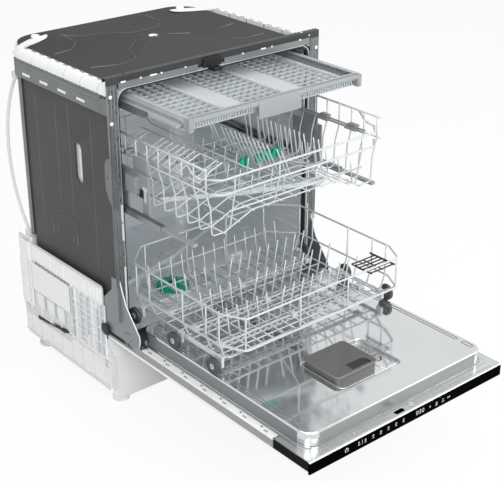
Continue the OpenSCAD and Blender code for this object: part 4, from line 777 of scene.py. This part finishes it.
lathes("top_mat_ring", [(profile, (20, 277, 0), "z") for profile in (
    [(7, 787), (10.6, 787), (11.6, 791.2), (11.2, 792.6), (9.4, 792.8), (8.2, 791.6), (7, 789), (7, 787)],
    [(0, 786.4), (6.8, 786.4), (7.4, 788), (5, 789.6), (0, 790)])], SHELL, n=32)

# front columns: beads, small holes, pale strips by the tub's mouth, the lowest of them a painted reflection, ears at
# the top
holes = [(283.6, -0.3, z - 1.6, 286.2, 0.3, z + 1.6)
    for z in (352, 377, 402, 441, 466, 519, 566, 640, 664, 700, 752, 785)]
holes += [(276.2, -0.3, z - 3.6, 278.4, 0.3, z + 3.6) for z in (410, 489, 540, 596, 680, 738)]
lines = [([(s * x, -0.1, z) for x, z in line], r) for s in SIDES for r, line in (
    (0.9, ((297.9, 346), (297.9, 796))), (1, ((280.2, 200), (280.2, 796))),
    (0.8, ((288.2, 346), (288.2, 520), (290.6, 530), (290.6, 640), (288.2, 650), (288.2, 796))))]
boxes("column_holes", both(*holes), "black cabinet zinc_sheet", 0.3)
tubes("column_beads", lines, "zinc cabinet zinc_sheet")
# pale strips on the columns' inner edge; the lowest, from z 262 to 378, is a painted reflection
boxes("column_strips_and_glint", both((272.4, -1, 486, 277.6, 0.2, 528), (272.4, -0.8, 442, 277.2, 0.2, 483),
    (272.4, -0.8, 262, 276.4, 0.2, 378)), "light cabinet zinc_sheet")
boxes("column_ears", both((296.9, 5, 759, 298.95, 33, 765), (296.9, 10, 765, 298.95, 17, 775),
    (296.9, 21, 765, 298.95, 29, 773)), "dark cabinet zinc_sheet", 0.5)

# hinge brackets: plate, a white tube along its edge as a painted highlight, rivets, marks
brow = [(3, 345), (0, 335), (-18, 290), (-66, 232), (-68, 218), (-61, 197), (62, 197), (70, 208), (70, 280), (36, 312),
    (34, 345)]
hole = [(14 + 4 * cos(pi * k / 8), 300 + 4 * sin(pi * k / 8)) for k in range(16)]
for s, side in SIDED:
    plate("hinge_bracket" + side, [brow, hole], 2.8, s * 288.7, "yz", "bracket cabinet bracket_steel", 0.4,
        replaces=("hinge_brackets",) if s < 0 else ())
# white tube along the bracket's front edge: painted highlight
tubes("bracket_edge_highlights", [([(s * 288.8, y, z) for y, z in ((3, 344.6), (0.2, 335), (-17.8, 290), (-65.6, 232),
    (-67.6, 218), (-60.6, 198))], 1.35) for s in SIDES], "white cabinet bracket_steel")
lathes("bracket_rivets", [([(0, 0), (r, 0), (r - 0.4, s * h0), (0, s * h1)], (s * 290.2, y, z), "x")
    for s in SIDES for r, h0, h1, y, z in ((4.6, 1.4, 1.8, 14, 300), (3, 1.2, 1.4, 20, 240))],
    "screw cabinet axle_steel", n=20)
boxes("bracket_marks", both(*[(290, y, z, 290.6, y + 5, z + 2) for y, z in (
    (-30, 222), (-22, 222), (-14, 220), (-36, 206), (6, 262), (6, 280))]), "dark cabinet bracket_steel", 0)
boxes("bracket_tabs", both((289.2, 3, 240, 297, 6, 340)), "bracket cabinet bracket_steel", 0.5)

# base tray: top band, smooth panel with teeth above and cups below, ribbed field, low skirt; grey strips on the ribs'
# front sides are painted shade
ribs = [(291, y, 120, 297.6 if y > 78 else 295, y + 2, 258) for y in (66, 80, 98, 116, 140, 168, 190, 206)]
ribs += [(291, 68 if k % 2 else 98, z, 296.4, 206 if k % 3 else 168, z + 2)
    for k, z in enumerate((134, 150, 168, 190, 206, 222, 240))]
ribs += [(291, y, 262, 295.2, y + 1.6, 297) for y in (92, 108, 124, 150, 240, 300, 350)]
ribs += [(291, y, 130, 298.4, y + 2, 296) for y in (404, 416, 428)]
ribs += [(291, 400, z, 298.2, 440, z + 2) for z in (140, 172, 204, 236, 268)]
ribs += [(294, y, z, 297.6, y + 12, z + 7)
    for y, z in ((64, 60), (76, 74), (66, 88), (96, 50), (150, 44), (250, 44), (350, 44))]
# grey strips on the front-facing sides of ribs and pockets: painted shade of the relief
painted_rib_shade = [(291.4, y - 1.6, z0, 298, y, z1) for y, z0, z1 in ((205, 122, 250), (167, 126, 250), (139, 150, 250),
    (97, 122, 236), (79, 122, 256), (243, 130, 172), (289, 130, 172), (337, 130, 172), (213, 178, 250),
    (403, 130, 296))]
BASE = (  # name, boxes of the right side, look, width of the rounded edges
    ("ribs", ribs, "white", 0.5),
    ("panels", [(291, 214, 176, 298.2, 386, 250), (291, 58, 39, 295.2, 434, 92), (291, 76, 92, 294.4, 222, 116)],
        "white", 2.4),
    ("bands", [(291, 78, 296.5, 296.4, 388, 300.6), (291, 78, 256, 295.6, 388, 260), (291, 40, 116, 296, 230, 119),
        (291, 392, 122, 297.2, 444, 250), (291, 398, 250, 297.8, 440, 300), (291, 58, 34.5, 296.4, 434, 38.5)],
        "white", 1),
    ("milky", [(291, 78, 260, 293.6, 386, 300), (291, 392, 124, 293.6, 430, 300)], "trim", 0.8),
    ("painted_shade", painted_rib_shade, "light", 0.3),
    ("teeth", [(292, 218 + k * 14.6, 251, 296.6, 224 + k * 14.6, 258) for k in range(11)], "grey", 0.5))
for part, items, painted, width in BASE:
    boxes("base_" + part, both(*items), painted + " cabinet white_plastic", width)
lofts("base_cups", [[[(s * x, y + dy, z) for x, dy in ((x0, d0), (x1, d0), (x1, d1), (x0, d1))] for z, x0, x1, d0, d1
    in ((172, 291, 298, 0, 32), (146, 290.4, 297.4, 0, 32), (126, 291, 293.2, 6, 28))]
    for s in SIDES for y in (244, 290, 338)], SHELL, 1.4)

# apron and cheeks between plinth and door, clear of the swing of the door's lower end
swing = [(HINGE_Y + sqrt(88 ** 2 - (HINGE_Z - z) ** 2), z) for z in range(124, 167, 6)]
lofts("base_apron", [[[(-286.2, y + 0.6, z), (286.2, y + 0.6, z), (286.2, y + 1.9, z), (-286.2, y + 1.9, z)]
    for y, z in swing]], SHELL)
for s, side in SIDED:
    plate("base_cheek" + side, [swing + [(76, 166), (76, 124)]], 1.8, s * 287.6, "yz", SHELL, 0.3)

# damper rods: tapered with ribbed ends, tilted; oval rubber stops
DAMPER = [(0, 243), (3.3, 243), (4.2, 245), (4.2, 250), (3.6, 252), (3.6, 254), (4.1, 255), (4.1, 262), (3.1, 270),
    (3.1, 318), (3.9, 326), (3.9, 352), (3.3, 354), (3.3, 357), (4.1, 359), (4.1, 371), (3.2, 374), (0, 374)]
rods = lathes("damper_rods", [(profile, (s * 294.5, 0, 100), "y") for s in SIDES
    for profile in (DAMPER, [(0, 236), (2.4, 236), (2.4, 246), (0, 246)])],
    "rubber cabinet black_rubber", n=24, replaces=("spring_rods",))
for v in rods.data.vertices:
    along = 0.373 - (v.co.y - FRONT_Y / 1000)
    v.co.z += (v.co.z - 0.1) * 0.4 + along * 0.1
STOP = [(51, 189), (60, 185), (71, 187), (78, 194), (78, 204), (71, 213), (58, 215), (50, 208), (48, 198)]
lofts("rubber_stops", [[[(s * x, 63 + (y - 63) * k, 200 + (z - 200) * k) for y, z in STOP]
    for x, k in ((292, 0.9), (294, 1), (297.6, 1), (298.7, 0.8))] for s in SIDES],
    "rubber cabinet black_rubber", 0.8)

# plinth: turned-in ends and a thin bright lip
boxes("plinth_lip", [(-287, 43.6, 120.6, 287, 50.2, 124.2)] + both((285.4, 43.8, 10, 287.2, 58, 124)), SHELL)

# tub: pressed waves on the side and rear walls, ovals round the filter
waves = []
for s in SIDES:
    waves += [([(s * 269.9, y, z + d) for y, d in ((34, 0), (130, 0), (170, k), (290, k), (330, 0), (396, 0))], 1.5)
        for z, k in ((300, 10), (408, 10), (640, -12))]
    waves += [([(s * x, 473.9, z + d) for x, d in ((196, 0), (120, 0), (90, k), (28, k))], 1.5)
        for z, k in ((300, 12), (380, -14), (460, 12), (560, -10), (640, 14), (715, -10))]
waves += [([(-60 + r * 1.25 * cos(t), 130 + r * sin(t), 207.9) for t in [2 * pi * (k + 0.5) / 24 for k in range(24)]],
    1.2, "closed") for r in (60, 78, 96)]
tubes("tub_pressings", waves, "tub_steel cabinet stainless", bend=18)

# seal with its lip, lock details, marks on the crossbar
tubes("seal_lip", [([(s * x, 4.6, z) for x, z in ((267.6, 236), (267.6, 752), (262, 770), (246, 781.4), (0, 781.4))],
    1.5) for s in SIDES], "rubber cabinet black_rubber", n=10, bend=18)
boxes("lock_details", [(-46, -5.2, 801, -2, -3.8, 808), (-36, -4.8, 792, -10, -3.6, 798),
    (-44, -1.4, 812, -4, 13, 814.9), (-62, 2, 813.6, -50, 12, 814.95), (4, 2, 813.6, 14, 12, 814.95)],
    "black cabinet black_plastic", 0.5)
boxes("crossbar_slots", [(x - 5, 6, 814.6, x + 5, 10, 814.99)
    for x in (-262, -224, -150, -104, 60, 112, 150, 208, 250)], "white cabinet zinc_sheet", 0)
boxes("crossbar_lip", [(-268, -0.5, 786.4, -60, 0.2, 800.4), (14, -0.5, 786.4, 268, 0.2, 800.4)],
    "panel_wall cabinet zinc_sheet", 0.2)
boxes("crossbar_tabs", [(x, -1.2, 799, x + w, 0.1, 802.4) for x, w in (
    (-262, 12), (-214, 5), (-188, 18), (-160, 5), (-96, 4), (64, 5), (120, 14), (150, 5), (236, 6))],
    "white cabinet zinc_sheet", 0.3)

# filter: star of ribs, perforated plate
tubes("filter_star", [([(-60 + r * cos(a), 120 + r * sin(a), z) for r, z in ((16, 213), (27, 220), (38, 213.4))], 2.6)
    for a in [k * pi / 6 for k in range(12)]], "teal filter_cup teal_plastic")
lathes("filter_core", [([(0, 210), (13, 210), (13.4, 217), (12, 219), (0, 219)], (-60, 120, 0), "z")],
    "black filter_cup teal_plastic", n=32)
dots = [(-40 + i * 9.6, 136 + j * 9.6) for i in range(-8, 9) for j in range(-5, 7)]
lathes("filter_holes", [([(0, 209.3), (1.9, 209.3), (1.9, 209.75), (0, 209.75)], (x, y, 0), "z") for x, y in dots
    if (x + 60) ** 2 + (y - 120) ** 2 > 43 ** 2 and abs(x + 40) < 82 and abs(y - 136) < 58],
    "dark cabinet zinc_sheet", n=8)

# jets of the spray arms
JET = [(1.6, -0.2), (3.2, -0.2), (2.6, 0.8), (1.8, 0.8), (1.6, -0.2)]
for body, cy, r, n, turn, z in (("lower_arm", 228, 222, 5, 20, 244), ("middle_arm", -68, 205, 5, -24, 517),
        ("top_arm", 228, 120, 3, 35, 771)):
    jets = []
    for t in [radians(turn) + a for a in (pi, 0)]:
        for q in [34 + (r - 52) * k / (n - 1) for k in range(n)]:
            jets.append((JET, (q * cos(t) - 3 * sin(t), cy + q * sin(t) + 3 * cos(t), z), "z"))
    lathes(body + "_jets", jets, f"grey {body} light_plastic", n=14)

# ---- floor, light and camera
def rays(tree, *kinds):
    """Output that is 1 for rays of the kinds named, else 0."""
    path = add_node(tree, "LightPath").outputs
    out = path[kinds[0]]
    for kind in kinds[1:]:
        out = add_node(tree, "Math", {0: out, 1: path[kind]}, operation="MAXIMUM").outputs[0]
    return out


ground = bpy.data.meshes.new("floor")
ground.from_pydata([(-30, -30, 0), (30, -30, 0), (30, 30, 0), (-30, 30, 0)], [], [(0, 1, 2, 3)])
floor = add("floor", ground)
pale = bpy.data.materials.new("floor")
pale.use_nodes = True
tree = pale.node_tree
tree.nodes.clear()
seen = rays(tree, "Is Camera Ray", "Is Glossy Ray", "Is Transmission Ray")
matt = add_node(tree, "BsdfDiffuse", {"Color": (0.9, 0.9, 0.9, 1)}).outputs[0]
glow = add_node(tree, "Emission", {"Color": (1, 1, 1, 1)}).outputs[0]
lit = add_node(tree, "MixShader", {0: 0.9, 1: matt, 2: glow}).outputs[0]
add_node(tree, "OutputMaterial", {"Surface": add_node(tree, "MixShader", {0: seen, 1: matt, 2: lit}).outputs[0]})
ground.materials.append(pale)

scene.world = world = bpy.data.worlds.new("world")
world.use_nodes = True
tree = world.node_tree
sky = tree.nodes["Background"].inputs
sky["Color"].default_value = (1, 1, 1, 1)
seen = rays(tree, "Is Camera Ray", "Is Glossy Ray")
tree.links.new(mapped(tree, seen, 0, 1, 0.5, 1), sky["Strength"])


def area(name, loc, target, size, power):
    light = bpy.data.lights.new(name, "AREA")
    light.shape = "RECTANGLE"
    light.size, light.size_y = size
    light.energy = power
    o = add(name, light)
    o.location = loc
    o.rotation_euler = (Vector(target) - Vector(loc)).to_track_quat("-Z", "Y").to_euler()


area("key", (-2.6, -2.4, 3), (0, 0, 0.4), (2.2, 2.2), 70)
area("fill", (2.8, -2, 2), (0, 0, 0.4), (2, 2), 36)
area("top", (0.2, 0.2, 3.4), (0, 0, 0.4), (2.4, 2.4), 34)
area("front", (-0.1, -2.6, 1.3), (0, 0.3, 0.45), (1.8, 1.2), 34)

scene.view_settings.view_transform = "Standard"
cam = bpy.data.cameras.new("camera")
cam.sensor_width = 36
cam.lens = 83.99
co = add("camera", cam)
co.location = (-1.5608, -1.9018, 1.547)
co.rotation_euler = (radians(64.67), 0, radians(-40.05))
scene.camera = co

bpy.context.view_layer.update()
